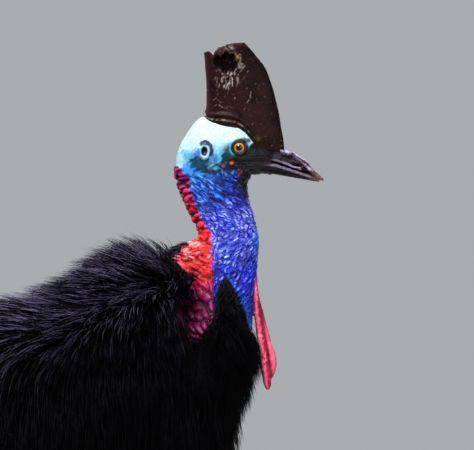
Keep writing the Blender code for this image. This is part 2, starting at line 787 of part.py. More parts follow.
def strip(tree, rows, width, thick):
    """Closed three-sided strip with a ridge along its top, ending in a point."""
    verts = []
    last = len(rows) - 1
    for i in range(last):
        centre, normal, row = rows[i]
        way = (rows[min(i + 1, last)][0] - rows[max(i - 1, 0)][0]).normalized()
        side = way.cross(normal).normalized() * width * row[1] / 2
        up = side.cross(way).normalized() * thick * row[2]
        verts += [settle(tree, centre, side), centre + up, settle(tree, centre, -side)]
    verts.append(rows[last][0])
    tip = len(verts) - 1
    faces = [(0, 1, 2)]
    for j in range(3):
        k = (j + 1) % 3
        for i in range(last - 1):
            faces.append((3 * i + j, 3 * i + k, 3 * i + 3 + k, 3 * i + 3 + j))
        faces.append((tip - 3 + j, tip - 3 + k, tip))
    return solid("lock", verts, faces)


def settle(tree, centre, side):
    """Edge of a lock, let down where the core falls away beside its middle."""
    near, normal, _, _ = tree.find_nearest(centre)
    height = (centre - near).dot(normal)
    edge = centre + side
    near, normal, _, _ = tree.find_nearest(edge)
    above = (edge - near).dot(normal)
    return edge - normal * max(0.0, above - max(height * EDGE_SHARE, height - 0.012))


def ring_places(section, spacing, shift):
    """Evenly spaced places round one torso section."""
    x, low, high, half, wide = section
    count = 240
    points = []
    for j in range(count + 1):
        angle = math.pi / 2 + 2 * math.pi * j / count
        points.append(Vector(upright_point(x, low, high, half, wide, 2.0, angle)))
    run = [0.0]
    for j in range(count):
        run.append(run[-1] + (points[j + 1] - points[j]).length)
    number = max(3, round(run[-1] / spacing))
    places = []
    for k in range(number):
        target = run[-1] * ((k + shift) % number) / number
        j = min(int(np.searchsorted(run, target)), count)
        places.append(points[j])
    return places


def make_torso(neighbours):
    """Torso core with overlapping locks laid from the neck to the rump."""
    random.seed(SEED)
    keys = np.concatenate([np.linspace(TORSO[0][0], 0.25, 12), np.linspace(0.29, TORSO[-1][0], 6)])
    node = upright_loft("torso", torso_sections(keys), 2.0, 20)
    tree = surface_tree(node)
    neck = surface_tree(neighbours[0])
    locks = []
    for start, out in collar_places(tree):

        def fan(spot, out=out):
            return (torso_drift(spot) + out * COLLAR_SPREAD).normalized()

        locks.append(lay_lock(tree, start, fan, LOCK_COLLAR))
    for number, (x, spacing, size) in enumerate(LOCK_ROWS):
        section = torso_sections([x])[0]
        for index, place in enumerate(ring_places(section, spacing, 0.5 * (number % 2))):
            if inside(neck, place, 0.004):
                continue
            start = place + Vector((random.uniform(-0.008, 0.008), 0.0, 0.0))
            sized = (size[0] * random.uniform(0.92, 1.10),) + size[1:]
            locks.append(lay_lock(tree, start, torso_drift, sized, LOCK_STEP * (index % 2)))
    return cut_for_neighbours(fuse(node, locks, "MANIFOLD"), neighbours)


def collar_places(tree):
    """Places round the foot of the neck where it enters the torso, with their way out."""
    places = []
    rows = np.arange(NECK_LOWER[2][0], NECK_LOWER[-1][0], 1.0)
    rings = [level_ring(sz(r[0]), sx(r[1]), sx(r[2]), r[3] / 1000, 0.0, COLLAR_LOCKS)
             for r in smooth(NECK_LOWER, rows)]
    for j in range(COLLAR_LOCKS):
        for ring in rings:
            spot = Vector(ring[j])
            near, normal, _, _ = tree.find_nearest(spot)
            if (spot - near).dot(normal) < 0.0:
                angle = 2 * math.pi * j / COLLAR_LOCKS
                out = Vector((math.cos(angle), math.sin(angle), 0.0))
                places.append((spot - out * 0.006, out))
                break
    return places


def cut_for_neighbours(node, neighbours):
    """Torso without the space of the neck, thighs and wings set in it."""
    cutters = [grown(other, 0.0006) for other in neighbours]
    for core in [neck_core(), thigh_core("thigh", -1), thigh_core("thigh", 1)]:
        cutters.append(grown(core))
        bpy.data.objects.remove(core)
    return cut(node, cutters, "MANIFOLD")


def inside(tree, place, margin):
    """Whether a place lies inside a closed surface or nearer than the margin."""
    near, normal, _, distance = tree.find_nearest(place)
    return (place - near).dot(normal) < 0 or distance < margin


def limb_rings(table, side, keys, count):
    """Rings square to a limb that leans in the side view."""
    rings = []
    for row in keys:
        rings.append([limb_point(table, side, row, 2 * math.pi * j / count) for j in range(count)])
    return rings


def limb_point(table, side, row, angle, out=0.0):
    """Point on a limb; angle 0 is its front."""
    _, x, z, deep, half = smooth(table, [row])[0]
    before = smooth(table, [max(row - 0.05, table[0][0])])[0]
    after = smooth(table, [min(row + 0.05, table[-1][0])])[0]
    run = Vector((after[1] - before[1], 0.0, after[2] - before[2])).normalized()
    fore = Vector((-run.z, 0.0, run.x))
    centre = Vector((x, side * LEG_Y, z))
    return centre + fore * (deep + out) * math.cos(angle) + Vector((0, (half + out) * math.sin(angle), 0))


def thigh_core(name, side):
    """Thigh without its locks."""
    return loft(name, limb_rings(THIGH, side, np.linspace(0.0, 5.0, 8), 12))


def make_thigh(name, side, tarsus):
    """Feathered thigh with locks hanging along it, cut clear of the shank."""
    node = thigh_core(name, side)
    tree = surface_tree(node)
    run = Vector((-0.52, 0.0, -0.85))
    locks = []
    for number, row in enumerate((2.2, 3.0, 3.8)):
        count = 5 - number // 2
        for j in range(count):
            angle = 2 * math.pi * (j + 0.5 * (number % 2)) / count
            start = limb_point(THIGH, side, row, angle)
            length, width, thick, shape = LOCK_THIGH
            size = (length - 0.012 * number, width - 0.006 * number, thick, shape)
            locks.append(lay_lock(tree, start, lambda spot: run.copy(), size, 0.003 * (j % 2)))
    return cut(fuse(node, locks, "MANIFOLD"), [grown(tarsus, 0.0006)], "MANIFOLD")


def plate(name, point, start, end, angles, rise):
    """Raised scute between two rows and across some angles of a surface."""
    outer = []
    inner = []
    for row, lift in ((start, 0.4 * rise), (end, rise)):
        for angle in angles:
            edge = angle in (angles[0], angles[-1])
            outer.append(point(row, angle, lift * (0.5 if edge else 1.0)))
            inner.append(point(row, angle, -0.0015))
    count = len(angles)
    total = 2 * count
    faces = []
    for j in range(count - 1):
        faces.append((j, j + 1, count + j + 1, count + j))
        faces.append((total + j, total + count + j, total + count + j + 1, total + j + 1))
        faces.append((j, total + j, total + j + 1, j + 1))
        faces.append((count + j, count + j + 1, total + count + j + 1, total + count + j))
    faces.append((0, count, total + count, total))
    last = count - 1
    faces.append((last, total + last, total + count + last, count + last))
    return solid(name, outer + inner, faces)


def make_tarsus(name, side, cutters):
    """Scaled shank with the ankle joint and a row of scutes down its front."""
    keys = [0.0, 1.0, 1.6, 2.0, 2.5, 3.0, 4.0, 5.0, 6.0, 7.0, 8.0]
    node = loft(name, limb_rings(TARSUS, side, keys, 10))
    scutes = []
    rows = np.linspace(2.45, 7.5, TARSUS_SCUTES + 1)
    angles = [math.radians(a) for a in (-58, 0, 58)]
    for start, end in zip(rows[:-1], rows[1:]):
        overlap = end + 0.04

        def point(row, angle, out):
            return limb_point(TARSUS, side, row, angle, out)

        scutes.append(plate("scute", point, start, overlap, angles, 0.0020))
    return cut(fuse(node, scutes, "MANIFOLD"), cutters, "MANIFOLD")


def toe_frame(kind, side):
    """Start and direction of a toe; inner toes turn to the middle."""
    x, aside, turn, _ = TOES[kind]
    start = Vector((x, side * (LEG_Y - aside), 0.0))
    angle = math.radians(-turn * side)
    return start, Vector((math.cos(angle), math.sin(angle), 0.0))


def toe_point(kind, side, run, angle, out=0.0):
    """Point on a toe; angle 0 is its top. The sole is flat on the floor."""
    start, way = toe_frame(kind, side)
    _, half, height = smooth(TOE_SHAPES[kind], [run])[0]
    across = Vector((-way.y, way.x, 0.0))
    z = 0.44 * height + (0.56 * height + out) * math.cos(angle)
    place = start + way * run + across * (half + out) * math.sin(angle)
    return Vector((place.x, place.y, max(z, -max(out, 0.0))))


def toe_core(name, kind, side, out=0.0):
    """Toe without its scutes on a flat sole, or larger by a little as a cutter."""
    _, way = toe_frame(kind, side)
    shape = TOE_SHAPES[kind]
    angles = [2 * math.pi * (j + 0.5) / 10 for j in range(10)]
    shifts = [-out] + [0.0] * (len(shape) - 2) + [out]
    rings = []
    for row, shift in zip(shape, shifts):
        rings.append([toe_point(kind, side, row[0], angle, out) + way * shift for angle in angles])
    return loft(name, rings)


def make_toe(name, kind, side, cutters):
    """Toe with a flat sole and scutes over its top."""
    shape = TOE_SHAPES[kind]
    node = toe_core(name, kind, side)
    scutes = []
    rows = np.linspace(SCUTES_FROM, shape[-1][0] - 0.004, TOES[kind][3] + 1)
    angles = [math.radians(a) for a in (-50, 0, 50)]
    for start, end in zip(rows[:-1], rows[1:]):

        def point(row, angle, out):
            return toe_point(kind, side, row, angle, out)

        scutes.append(plate("scute", point, start, min(end + 0.001, shape[-1][0]), angles, 0.0016))
    return cut(fuse(node, scutes, "MANIFOLD"), cutters, "MANIFOLD")


def make_claw(name, kind, side):
    """Claw on the flat end of its toe."""
    start, way = toe_frame(kind, side)
    length, half, rise, bow = CLAWS[kind]
    end = TOE_SHAPES[kind][-1]
    root = start + way * (end[0] + GAP)
    across = Vector((-way.y, way.x, 0.0))
    middle = end[2] * 0.50
    rings = []
    for share in (0.0, 0.3, 0.6, 0.85, 1.0):
        taper = (1 - share) ** 0.75 * 0.92 + 0.08
        low = middle * (1 - share) ** 1.3 + bow * math.sin(math.pi * share) + 0.0012
        centre = root + way * length * share + Vector((0, 0, max(low, rise * taper + 0.0002)))
        ring = []
        for j in range(6):
            angle = 2 * math.pi * j / 6
            aside = across * half * taper * math.sin(angle)
            ring.append(centre + aside + Vector((0, 0, rise * taper * math.cos(angle))))
        rings.append(ring)
    return loft(name, rings)


def make_wing(name, side):
    """Small wing with bare quills that bow out through the plumage of the flank."""
    x, y, z = WING_AT
    root = Vector((x, side * y, z))
    node = ball(name, root, WING_SIZE, -WING_LEAN, 10, 6)
    lean = math.radians(WING_LEAN)
    long = Vector((math.cos(lean), 0.0, math.sin(lean)))
    quills = []
    for number, (length, turn) in enumerate(QUILLS):
        start = root + long * (0.024 - 0.012 * number) + Vector((0.0, side * 0.008, 0.0))
        points = []
        radii = []
        for share in (0.0, 0.14, 0.38, 0.64, 0.86, 1.0):
            angle = math.radians(turn + 16 * (1 - share))
            run = length * share
            out = QUILL_BOW * math.sin(math.pi * share ** 0.62)
            points.append(start + Vector((-run * math.sin(angle), side * out, -run * math.cos(angle))))
            radii.append(QUILL_RADIUS * (1 - 0.75 * share))
        quills.append(rod("quill", points, radii, 0))
    return fuse(node, quills)


def material(name, slot):
    """Plain material of one node in the colour of its slot."""
    red, green, blue, rough = COLOURS[slot]
    made = bpy.data.materials.new(name)
    made.use_nodes = True
    shader = made.node_tree.nodes["Principled BSDF"]
    shader.inputs["Base Color"].default_value = (red, green, blue, 1.0)
    shader.inputs["Roughness"].default_value = rough
    return made


def part_shared_edges(work):
    """Give one sheet of each edge that two sheets share a middle corner of its own."""
    for edge in [e for e in work.edges if len(e.link_faces) > 2]:
        start, end = edge.verts
        faces = list(edge.link_faces)
        pairs = [(f.normal.dot(g.normal), i, j) for i, f in enumerate(faces)
                 for j, g in enumerate(faces) if i < j and runs_forward(f, edge) != runs_forward(g, edge)]
        _, i, j = max(pairs)
        middle = work.verts.new((start.co + end.co) / 2)
        for face in (faces[i], faces[j]):
            third = next(v for v in face.verts if v not in (start, end))
            first, second = (start, end) if runs_forward(face, edge) else (end, start)
            work.faces.remove(face)
            work.faces.new((first, middle, third))
            work.faces.new((middle, second, third))


def runs_forward(face, edge):
    """Whether a face goes along an edge from its first corner to its second."""
    loop = next(turn for turn in face.loops if turn.edge == edge)
    return loop.vert == edge.verts[0]


def close_short_edges(work):
    """Close edges too short to see and take out the folded faces that this leaves."""
    short = [edge for edge in work.edges if edge.calc_length() < MERGE]
    if short:
        bmesh.ops.collapse(work, edges=short)
    sheets = {}
    for face in work.faces:
        sheets.setdefault(frozenset(face.verts), []).append(face)
    folded = [face for pair in sheets.values() if len(pair) > 1 for face in pair]
    bmesh.ops.delete(work, geom=folded, context="FACES")


def part_touching_corners(work):
    """Move corners that lie in one place apart, inward by unlike amounts."""
    work.normal_update()
    doubles = bmesh.ops.find_doubles(work, verts=work.verts, dist=MERGE)["targetmap"]
    groups = {}
    for vert, target in doubles.items():
        groups.setdefault(target, [target]).append(vert)
    for verts in groups.values():
        for number, vert in enumerate(verts):
            vert.co -= vert.normal * PART * (number + 1)


def finish(node, group, made):
    """Link a node with its own material, three-cornered faces and shading."""
    work = bmesh.new()
    work.from_mesh(node.data)
    flat = FLAT_COAT if node.name == "torso" else FLAT
    bmesh.ops.dissolve_limit(work, angle_limit=flat, verts=work.verts, edges=work.edges)
    drop_small_surfaces(work)
    bmesh.ops.triangulate(work, faces=work.faces)
    close_short_edges(work)
    part_shared_edges(work)
    drop_small_surfaces(work)
    part_touching_corners(work)
    work.to_mesh(node.data)
    work.free()
    node.data.materials.clear()
    node.data.materials.append(made)
    node.data.shade_smooth()
    node.data.set_sharp_from_angle(angle=SHARP)
    node.data.name = node.name
    group.objects.link(node)


def build_front():
    """Head, bill, casque, eyes, neck and wattles with their slots."""
    head = make_head()
    upper = make_upper_bill()
    neck_lower = make_neck_lower()
    return neck_lower, [
        (head, "head_skin"),
        (upper, "bill_horn"),
        (make_bill("lower_bill", LOWER_BILL), "bill_horn"),
        (make_casque([head, upper]), "casque_horn"),
        (eyeball("eye_right", -1), "eye_gloss"),
        (eyeball("eye_left", 1), "eye_gloss"),
        (make_neck_upper(), "neck_skin"),
        (neck_lower, "nape_skin"),
        (make_wattle("wattle_right", NEAR_WATTLE, -1, [neck_lower]), "wattle_skin"),
        (make_wattle("wattle_left", FAR_WATTLE, 1, [neck_lower]), "wattle_skin"),
    ]


def build_foot(side, word):
    """Shank, toes and claws of one side with their slots."""
    made = []
    toes = []
    for kind in TOES:
        cutters = [] if kind == "middle" else [toe_core("space", "middle", side, TOE_SPACE)]
        toes.append((make_toe("toe_" + kind + "_" + word, kind, side, cutters), "leg_scale"))
    cutters = [toe_core("space", kind, side, TOE_SPACE) for kind in TOES]
    made.append((make_tarsus("tarsus_" + word, side, cutters), "leg_scale"))
    made += toes
    for kind in TOES:
        made.append((make_claw("claw_" + kind + "_" + word, kind, side), "claw_horn"))
    return made


def build():
    """Make every node and link it in the bird's collection."""
    for old in list(bpy.data.objects):
        bpy.data.objects.remove(old)
    group = bpy.data.collections.new("cassowary")
    bpy.context.scene.collection.children.link(group)
    neck, made = build_front()
    near = [neck]
    for side, word in ((-1, "right"), (1, "left")):
        foot = build_foot(side, word)
        thigh = make_thigh("thigh_" + word, side, foot[0][0])
        wing = make_wing("wing_" + word, side)
        near += [thigh, wing]
        made += [(thigh, "plumage"), (wing, "quill_horn")] + foot
    made.append((make_torso(near), "plumage"))
    for node, slot in made:
        finish(node, group, material(node.name, slot))


build()
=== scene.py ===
"""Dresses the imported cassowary: one skin, horn, eyes, scaled legs and a hair-like coat.

Metres, +Z up, the bird faces +X. Places on the head and neck are in steps of a
side drawing, (across, down), as in the part's source.
"""
import math
import random

import bmesh
import bpy
import numpy as np
from mathutils import Matrix, Vector, noise
from mathutils.bvhtree import BVHTree


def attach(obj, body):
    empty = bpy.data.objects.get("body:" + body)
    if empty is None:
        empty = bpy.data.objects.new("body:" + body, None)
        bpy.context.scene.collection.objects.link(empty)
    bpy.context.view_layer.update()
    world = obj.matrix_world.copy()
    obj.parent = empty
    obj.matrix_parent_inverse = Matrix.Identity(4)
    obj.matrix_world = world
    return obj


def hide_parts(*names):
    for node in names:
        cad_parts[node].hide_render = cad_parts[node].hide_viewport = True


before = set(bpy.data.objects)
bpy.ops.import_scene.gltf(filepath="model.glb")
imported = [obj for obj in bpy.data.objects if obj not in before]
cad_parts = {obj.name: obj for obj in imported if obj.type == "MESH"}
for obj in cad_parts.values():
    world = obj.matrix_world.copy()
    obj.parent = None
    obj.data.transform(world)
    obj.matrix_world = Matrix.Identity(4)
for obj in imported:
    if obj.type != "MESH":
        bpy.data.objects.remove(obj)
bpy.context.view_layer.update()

bl_info = {
    "name": "Cassowary",
    "version": (1, 0, 0),
    "blender": (4, 5, 0),
    "location": "3D View > Sidebar > Cassowary",
    "description": "A life-size cassowary with bare folded skin, a horn casque and a hair-like coat",
    "category": "Add Mesh",
}

# The side drawing
HEIGHT = 1.42
STEP = 0.0014
MID_ACROSS = 237.0
TOP_DOWN = 42.0
MID_X = 0.402
SEED = 23

# Head, across: top, bottom, half width in mm, height share of the widest place
HEAD = (
    (175.7, 161.0, 200.0, 5.0, 0.55),
    (177.0, 154.5, 200.0, 13.0, 0.55),
    (180.0, 145.5, 200.0, 19.5, 0.56),
    (185.0, 136.5, 200.0, 25.0, 0.57),
    (190.0, 129.0, 200.0, 28.0, 0.58),
    (196.0, 121.3, 200.0, 30.5, 0.59),
    (204.0, 117.0, 200.0, 32.0, 0.60),
    (209.0, 118.4, 200.0, 32.4, 0.60),
    (216.0, 119.0, 200.0, 32.5, 0.60),
    (224.0, 119.4, 200.0, 32.0, 0.60),
    (232.0, 120.4, 198.0, 31.0, 0.60),
    (239.0, 122.0, 190.0, 29.3, 0.61),
    (246.0, 128.0, 176.0, 26.0, 0.56),
    (254.0, 138.0, 173.6, 21.5, 0.50),
    (261.0, 141.2, 173.0, 17.5, 0.48),
    (266.0, 143.0, 173.2, 15.2, 0.48),
    (272.0, 146.0, 173.8, 12.6, 0.48),
)
HEAD_POWER = 2.3
# Neck, down: back, front, half width in mm
NECK = (
    (158.0, 184.0, 240.0, 22.0),
    (173.2, 176.6, 246.4, 31.0),
    (180.0, 177.2, 246.5, 30.5),
    (187.0, 179.0, 246.7, 30.0),
    (193.0, 181.2, 247.2, 29.7),
    (200.0, 184.0, 248.2, 29.5),
    (206.0, 187.0, 249.8, 29.8),
    (212.0, 190.0, 252.0, 30.3),
    (219.0, 193.2, 254.2, 31.0),
    (226.0, 196.5, 255.8, 31.8),
    (235.0, 200.0, 257.4, 33.0),
    (239.0, 198.6, 257.9, 34.5),
    (244.0, 194.5, 258.0, 37.0),
    (250.0, 190.0, 258.0, 40.0),
    (260.0, 187.0, 257.0, 44.0),
    (272.0, 188.0, 255.4, 48.5),
    (286.0, 189.5, 254.7, 59.0),
    (300.0, 187.0, 254.0, 73.0),
    (315.0, 181.5, 252.6, 88.0),
    (330.0, 181.5, 250.0, 98.0),
    (343.0, 190.0, 243.0, 96.0),
    (354.0, 202.0, 230.0, 70.0),
)
# Inner edge of the red skin on the neck, down: across
RED_EDGE = (
    (166.0, 183.5), (171.0, 187.0), (178.0, 188.5), (184.0, 190.5), (192.0, 192.5), (200.0, 193.5),
    (208.0, 197.0), (215.0, 200.5), (222.0, 204.5), (228.0, 209.0), (235.0, 212.5), (248.0, 213.0),
    (262.0, 213.0), (275.0, 213.0), (290.0, 214.0), (305.0, 215.0), (315.0, 214.5), (323.0, 212.0),
    (330.0, 209.0), (337.0, 204.0), (343.0, 197.0), (350.0, 190.0),
)
# Edge between the blue front skin and the feathers beside it, down: across
TONGUE_EDGE = (
    (275.0, 226.0), (279.0, 229.5), (283.0, 232.5), (293.0, 238.0), (302.0, 242.0), (310.0, 245.0),
    (318.0, 247.5), (326.0, 249.5), (334.0, 251.5), (350.0, 262.0),
)
# Rear edge of the red skin, where the back's feathers begin, down: across
SHOULDER_EDGE = (
    (240.0, 160.0), (249.0, 173.0), (254.0, 173.0), (259.0, 176.5), (264.0, 181.0), (270.0, 185.5),
    (277.0, 189.0), (290.0, 189.5), (300.0, 185.0), (310.0, 181.0), (320.0, 178.5), (330.0, 179.5),
    (337.0, 183.5), (343.0, 197.0), (352.0, 214.0),
)
# Shoulder of loose red skin that stands out behind the neck, down: back, front, half width in mm
FLARE = (
    (238.0, 200.5, 226.0, 20.0),
    (241.0, 195.2, 228.0, 25.0),
    (244.0, 190.8, 228.0, 29.5),
    (247.0, 185.0, 228.0, 33.0),
    (250.0, 179.2, 228.0, 35.5),
    (253.0, 174.2, 228.0, 37.0),
    (256.0, 172.6, 228.0, 38.0),
    (260.0, 170.4, 228.0, 39.0),
    (264.0, 168.6, 226.0, 40.0),
    (268.0, 167.6, 222.0, 41.0),
    (273.0, 167.0, 216.0, 41.0),
)
# How low the head reaches behind, clear of the neck's rear, across: down
HEAD_FOOT = ((175.7, 170.0), (180.0, 178.0), (185.0, 184.0), (190.0, 190.0), (197.0, 200.0))
# Left edge of the feathers between the red and the blue skin, down: across
WEDGE_EDGE = (
    (275.0, 227.0), (279.0, 222.5), (283.0, 219.5), (292.0, 217.0), (303.0, 215.5), (315.0, 214.0), (343.0, 196.0),
)
NEAR_WATTLE = (
    (262.0, 252.0, 256.0, 2.0),
    (285.0, 253.6, 257.8, 2.8),
    (300.0, 253.6, 259.2, 4.0),
    (315.0, 254.2, 260.8, 5.4),
    (330.0, 256.0, 263.0, 6.6),
    (345.0, 257.6, 266.0, 7.8),
    (360.0, 259.8, 268.4, 8.6),
    (372.0, 261.6, 270.2, 8.4),
    (382.0, 263.2, 271.0, 7.0),
    (387.0, 265.0, 270.4, 5.0),
    (389.6, 266.4, 269.2, 2.6),
)
FAR_WATTLE = (
    (262.0, 252.0, 256.4, 2.0),
    (285.0, 253.8, 258.2, 2.8),
    (300.0, 253.8, 260.0, 4.2),
    (315.0, 255.0, 264.2, 5.6),
    (330.0, 257.6, 268.0, 7.2),
    (345.0, 261.0, 272.0, 8.6),
    (358.0, 264.4, 276.2, 9.2),
    (367.0, 265.8, 276.6, 8.6),
    (374.0, 266.2, 274.8, 6.8),
    (378.0, 267.0, 272.6, 4.6),
    (380.6, 268.0, 270.8, 2.4),
)
WATTLE_OUT = 0.0105
# Casque, down: back, front, half width in mm
CASQUE = (
    (42.6, 229.0, 243.6, 4.0),
    (44.0, 219.0, 245.4, 7.5),
    (47.0, 209.0, 248.0, 10.0),
    (51.0, 204.8, 252.0, 12.0),
    (55.0, 204.3, 255.6, 13.2),
    (62.0, 204.8, 261.6, 14.4),
    (70.0, 205.3, 266.4, 15.3),
    (80.0, 206.0, 270.4, 16.2),
    (90.0, 206.6, 273.6, 17.0),
    (100.0, 206.6, 276.2, 18.0),
    (110.0, 205.7, 278.3, 19.0),
    (118.0, 204.6, 280.0, 20.0),
    (128.0, 204.6, 281.6, 20.2),
    (140.0, 209.0, 283.6, 18.6),
    (151.0, 216.0, 284.6, 15.0),
)
CASQUE_NOSE = 0.42
HEM = (
    (204.0, 116.6), (207.0, 118.8), (213.0, 120.2), (220.0, 120.6), (226.0, 121.0), (232.0, 122.0),
    (238.0, 123.6), (243.0, 127.0), (247.0, 130.6), (251.0, 134.8), (255.0, 139.6), (260.0, 143.0),
)
HOLLOW_AT = (227.0, 62.0)
# Scratches and scars on the right side of the casque, (across, down)
SCRATCHES = (
    ((213, 100), (217, 98), (220, 102), (224, 101), (227, 105), (232, 107)),
    ((214, 106), (218, 104), (222, 107), (228, 108), (231, 111)),
    ((222, 74), (221, 80), (219, 86)),
    ((225, 75), (226, 82), (228, 90), (227, 96)),
    ((230, 74), (233, 82), (236, 90)),
    ((236, 78), (240, 72), (245, 66)),
    ((238, 84), (243, 79), (249, 70)),
    ((247, 103), (250, 98), (251, 91)),
    ((241, 92), (247, 88)),
    ((217, 90), (218, 96)),
    ((233, 94), (236, 101)),
)
# Bill, across: top, bottom, half width in mm, height share of the widest place
UPPER_BILL = (
    (258.0, 141.0, 161.5, 16.0, 0.30),
    (266.2, 143.0, 161.5, 15.2, 0.30),
    (275.0, 146.8, 162.4, 12.8, 0.30),
    (284.0, 149.8, 166.0, 10.8, 0.30),
    (292.0, 151.8, 168.5, 9.4, 0.30),
    (300.0, 156.6, 171.0, 8.2, 0.30),
    (308.0, 162.6, 174.0, 6.8, 0.30),
    (315.0, 170.8, 178.2, 4.8, 0.35),
    (320.0, 175.2, 180.2, 3.2, 0.40),
    (323.4, 178.2, 180.8, 1.6, 0.50),
)
LOWER_BILL = (
    (258.0, 162.0, 173.0, 15.6, 0.70),
    (266.2, 162.0, 173.2, 14.4, 0.70),
    (275.0, 161.8, 174.5, 11.8, 0.70),
    (284.0, 165.2, 176.0, 9.8, 0.70),
    (292.0, 167.8, 177.4, 8.5, 0.70),
    (300.0, 170.3, 178.8, 7.2, 0.70),
    (308.0, 173.3, 180.2, 5.8, 0.70),
    (314.0, 176.2, 181.3, 4.0, 0.65),
    (319.2, 179.2, 181.9, 2.2, 0.60),
)
# Eye and ear
EYE_AT = (239.0, 147.5)
EYE_RADIUS = 0.0125
EYE_IN = 0.0197
EAR_AT = (204.5, 151.0)
# Body core, x: low, high, half width in metres
TORSO = (
    (-0.487, 0.655, 0.735, 0.040),
    (-0.452, 0.625, 0.790, 0.080),
    (-0.397, 0.606, 0.850, 0.118),
    (-0.317, 0.606, 0.910, 0.152),
    (-0.217, 0.620, 0.960, 0.182),
    (-0.117, 0.635, 0.994, 0.199),
    (-0.017, 0.652, 1.014, 0.203),
    (0.073, 0.672, 1.026, 0.197),
    (0.143, 0.695, 1.050, 0.186),
    (0.203, 0.722, 1.083, 0.171),
    (0.253, 0.752, 1.099, 0.154),
    (0.293, 0.780, 1.107, 0.138),
    (0.323, 0.806, 1.098, 0.124),
    (0.353, 0.838, 1.074, 0.111),
    (0.378, 0.874, 1.044, 0.092),
    (0.393, 0.912, 1.018, 0.062),
    (0.400, 0.940, 1.000, 0.034),
)
TORSO_WIDE = 0.45
FLESH_DEEP = 0.026       # depth of the skin under the body core
# Legs, order along the limb: x, z, half depth, half width
LEG_Y = 0.098
THIGH = (
    (0.0, 0.063, 0.700, 0.078, 0.058),
    (1.0, 0.028, 0.640, 0.080, 0.060),
    (2.0, -0.012, 0.575, 0.068, 0.053),
    (3.0, -0.052, 0.510, 0.051, 0.042),
    (4.0, -0.087, 0.455, 0.036, 0.032),
    (5.0, -0.1040, 0.4282, 0.030, 0.027),
    (6.0, -0.1205, 0.4010, 0.027, 0.024),
)
TARSUS = (
    (-0.3, -0.0990, 0.4400, 0.0285, 0.0255),
    (0.0, -0.1042, 0.4278, 0.0290, 0.0260),
    (1.0, -0.1205, 0.4010, 0.0285, 0.0255),
    (2.0, -0.1320, 0.3700, 0.0335, 0.0305),
    (3.0, -0.1255, 0.3330, 0.0280, 0.0270),
    (4.0, -0.1090, 0.2620, 0.0220, 0.0210),
    (5.0, -0.0905, 0.1820, 0.0210, 0.0200),
    (6.0, -0.0740, 0.1100, 0.0230, 0.0230),
    (7.0, -0.0640, 0.0620, 0.0270, 0.0300),
    (8.0, -0.0590, 0.0260, 0.0285, 0.0330),
)
TOES = {
    "middle": (-0.090, 0.000, 0.0),
    "outer": (-0.080, -0.013, -27.0),
    "inner": (-0.080, 0.013, 21.0),
}
TOE_SHAPES = {
    "middle": (
        (0.000, 0.0130, 0.028),
        (0.015, 0.0185, 0.040),
        (0.045, 0.0200, 0.043),
        (0.075, 0.0172, 0.034),
        (0.098, 0.0182, 0.035),
        (0.120, 0.0152, 0.028),
        (0.143, 0.0158, 0.029),
        (0.160, 0.0120, 0.022),
        (0.168, 0.0090, 0.017),
    ),
    "outer": (
        (0.000, 0.0120, 0.026),
        (0.015, 0.0165, 0.036),
        (0.040, 0.0175, 0.037),
        (0.063, 0.0152, 0.030),
        (0.085, 0.0158, 0.030),
        (0.106, 0.0135, 0.025),
        (0.124, 0.0112, 0.020),
        (0.133, 0.0080, 0.015),
    ),
    "inner": (
        (0.000, 0.0120, 0.026),
        (0.015, 0.0165, 0.036),
        (0.040, 0.0180, 0.038),
        (0.062, 0.0158, 0.032),
        (0.085, 0.0162, 0.031),
        (0.101, 0.0130, 0.026),
        (0.108, 0.0100, 0.020),
    ),
}
CLAWS = {
    "middle": (0.050, 0.0082, 0.0078, 0.004),
    "outer": (0.042, 0.0072, 0.0068, 0.003),
    "inner": (0.116, 0.0098, 0.0102, 0.005),
}
# Wing
WING_AT = (0.173, 0.157, 0.842)
WING_LEAN = 30.0
QUILLS = ((0.185, 8.0), (0.220, 17.0), (0.245, 26.0), (0.235, 35.0), (0.205, 44.0))
QUILL_BOW = 0.052
QUILL_RADIUS = 0.0026
WING_SIZE = (0.042, 0.020, 0.020)

RIGHT_LEFT = ((-1, "right"), (1, "left"))


# Small helpers


def paint(red, green, blue):
    """Linear colour of a paint given as 0 to 255 on a chart."""
    return tuple(((c / 255 + 0.055) / 1.055) ** 2.4 if c > 10 else c / 3294.6 for c in (red, green, blue))


def sx(across):
    """Side-drawing column as metres along X."""
    return MID_X + STEP * (across - MID_ACROSS)


def sz(down):
    """Side-drawing row as metres above the floor."""
    return HEIGHT - STEP * (down - TOP_DOWN)


def drawn(co):
    """Places of an array of points on the side drawing."""
    return MID_ACROSS + (co[:, 0] - MID_X) / STEP, TOP_DOWN + (HEIGHT - co[:, 2]) / STEP


def smooth(table, keys):
    """Rows of a table at the given keys of its first column, as a smooth curve."""
    rows = np.array(table, float)
    known = rows[:, 0]
    slopes = np.gradient(rows, known, axis=0)
    keys = np.asarray(keys, float)
    low = np.clip(np.searchsorted(known, keys, side="right") - 1, 0, len(known) - 2)
    span = (known[low + 1] - known[low])[:, None]
    t = (keys - known[low])[:, None] / span
    near = rows[low] * (1 + 2 * t) * (1 - t) ** 2 + slopes[low] * span * t * (1 - t) ** 2
    far = rows[low + 1] * t * t * (3 - 2 * t) + slopes[low + 1] * span * t * t * (t - 1)
    return near + far


def along(table, keys):
    """Second column of a table at the given keys, held at its ends."""
    rows = np.array(table, float)
    return np.interp(keys, rows[:, 0], rows[:, 1])


def step_up(low, high, value):
    """Smooth 0 to 1 between low and high."""
    t = np.clip((value - low) / (high - low), 0.0, 1.0)
    return t * t * (3 - 2 * t)


def hill(distance, reach):
    """Smooth bump of height 1 that ends at reach."""
    return step_up(1.0, 0.0, np.abs(distance) / reach)


def dense(table, most):
    """Keys of a table with extra ones so that no step is over most."""
    keys = [table[0][0]]
    for row in table[1:]:
        count = max(1, math.ceil((row[0] - keys[-1]) / most))
        keys += list(np.linspace(keys[-1], row[0], count + 1)[1:])
    return keys


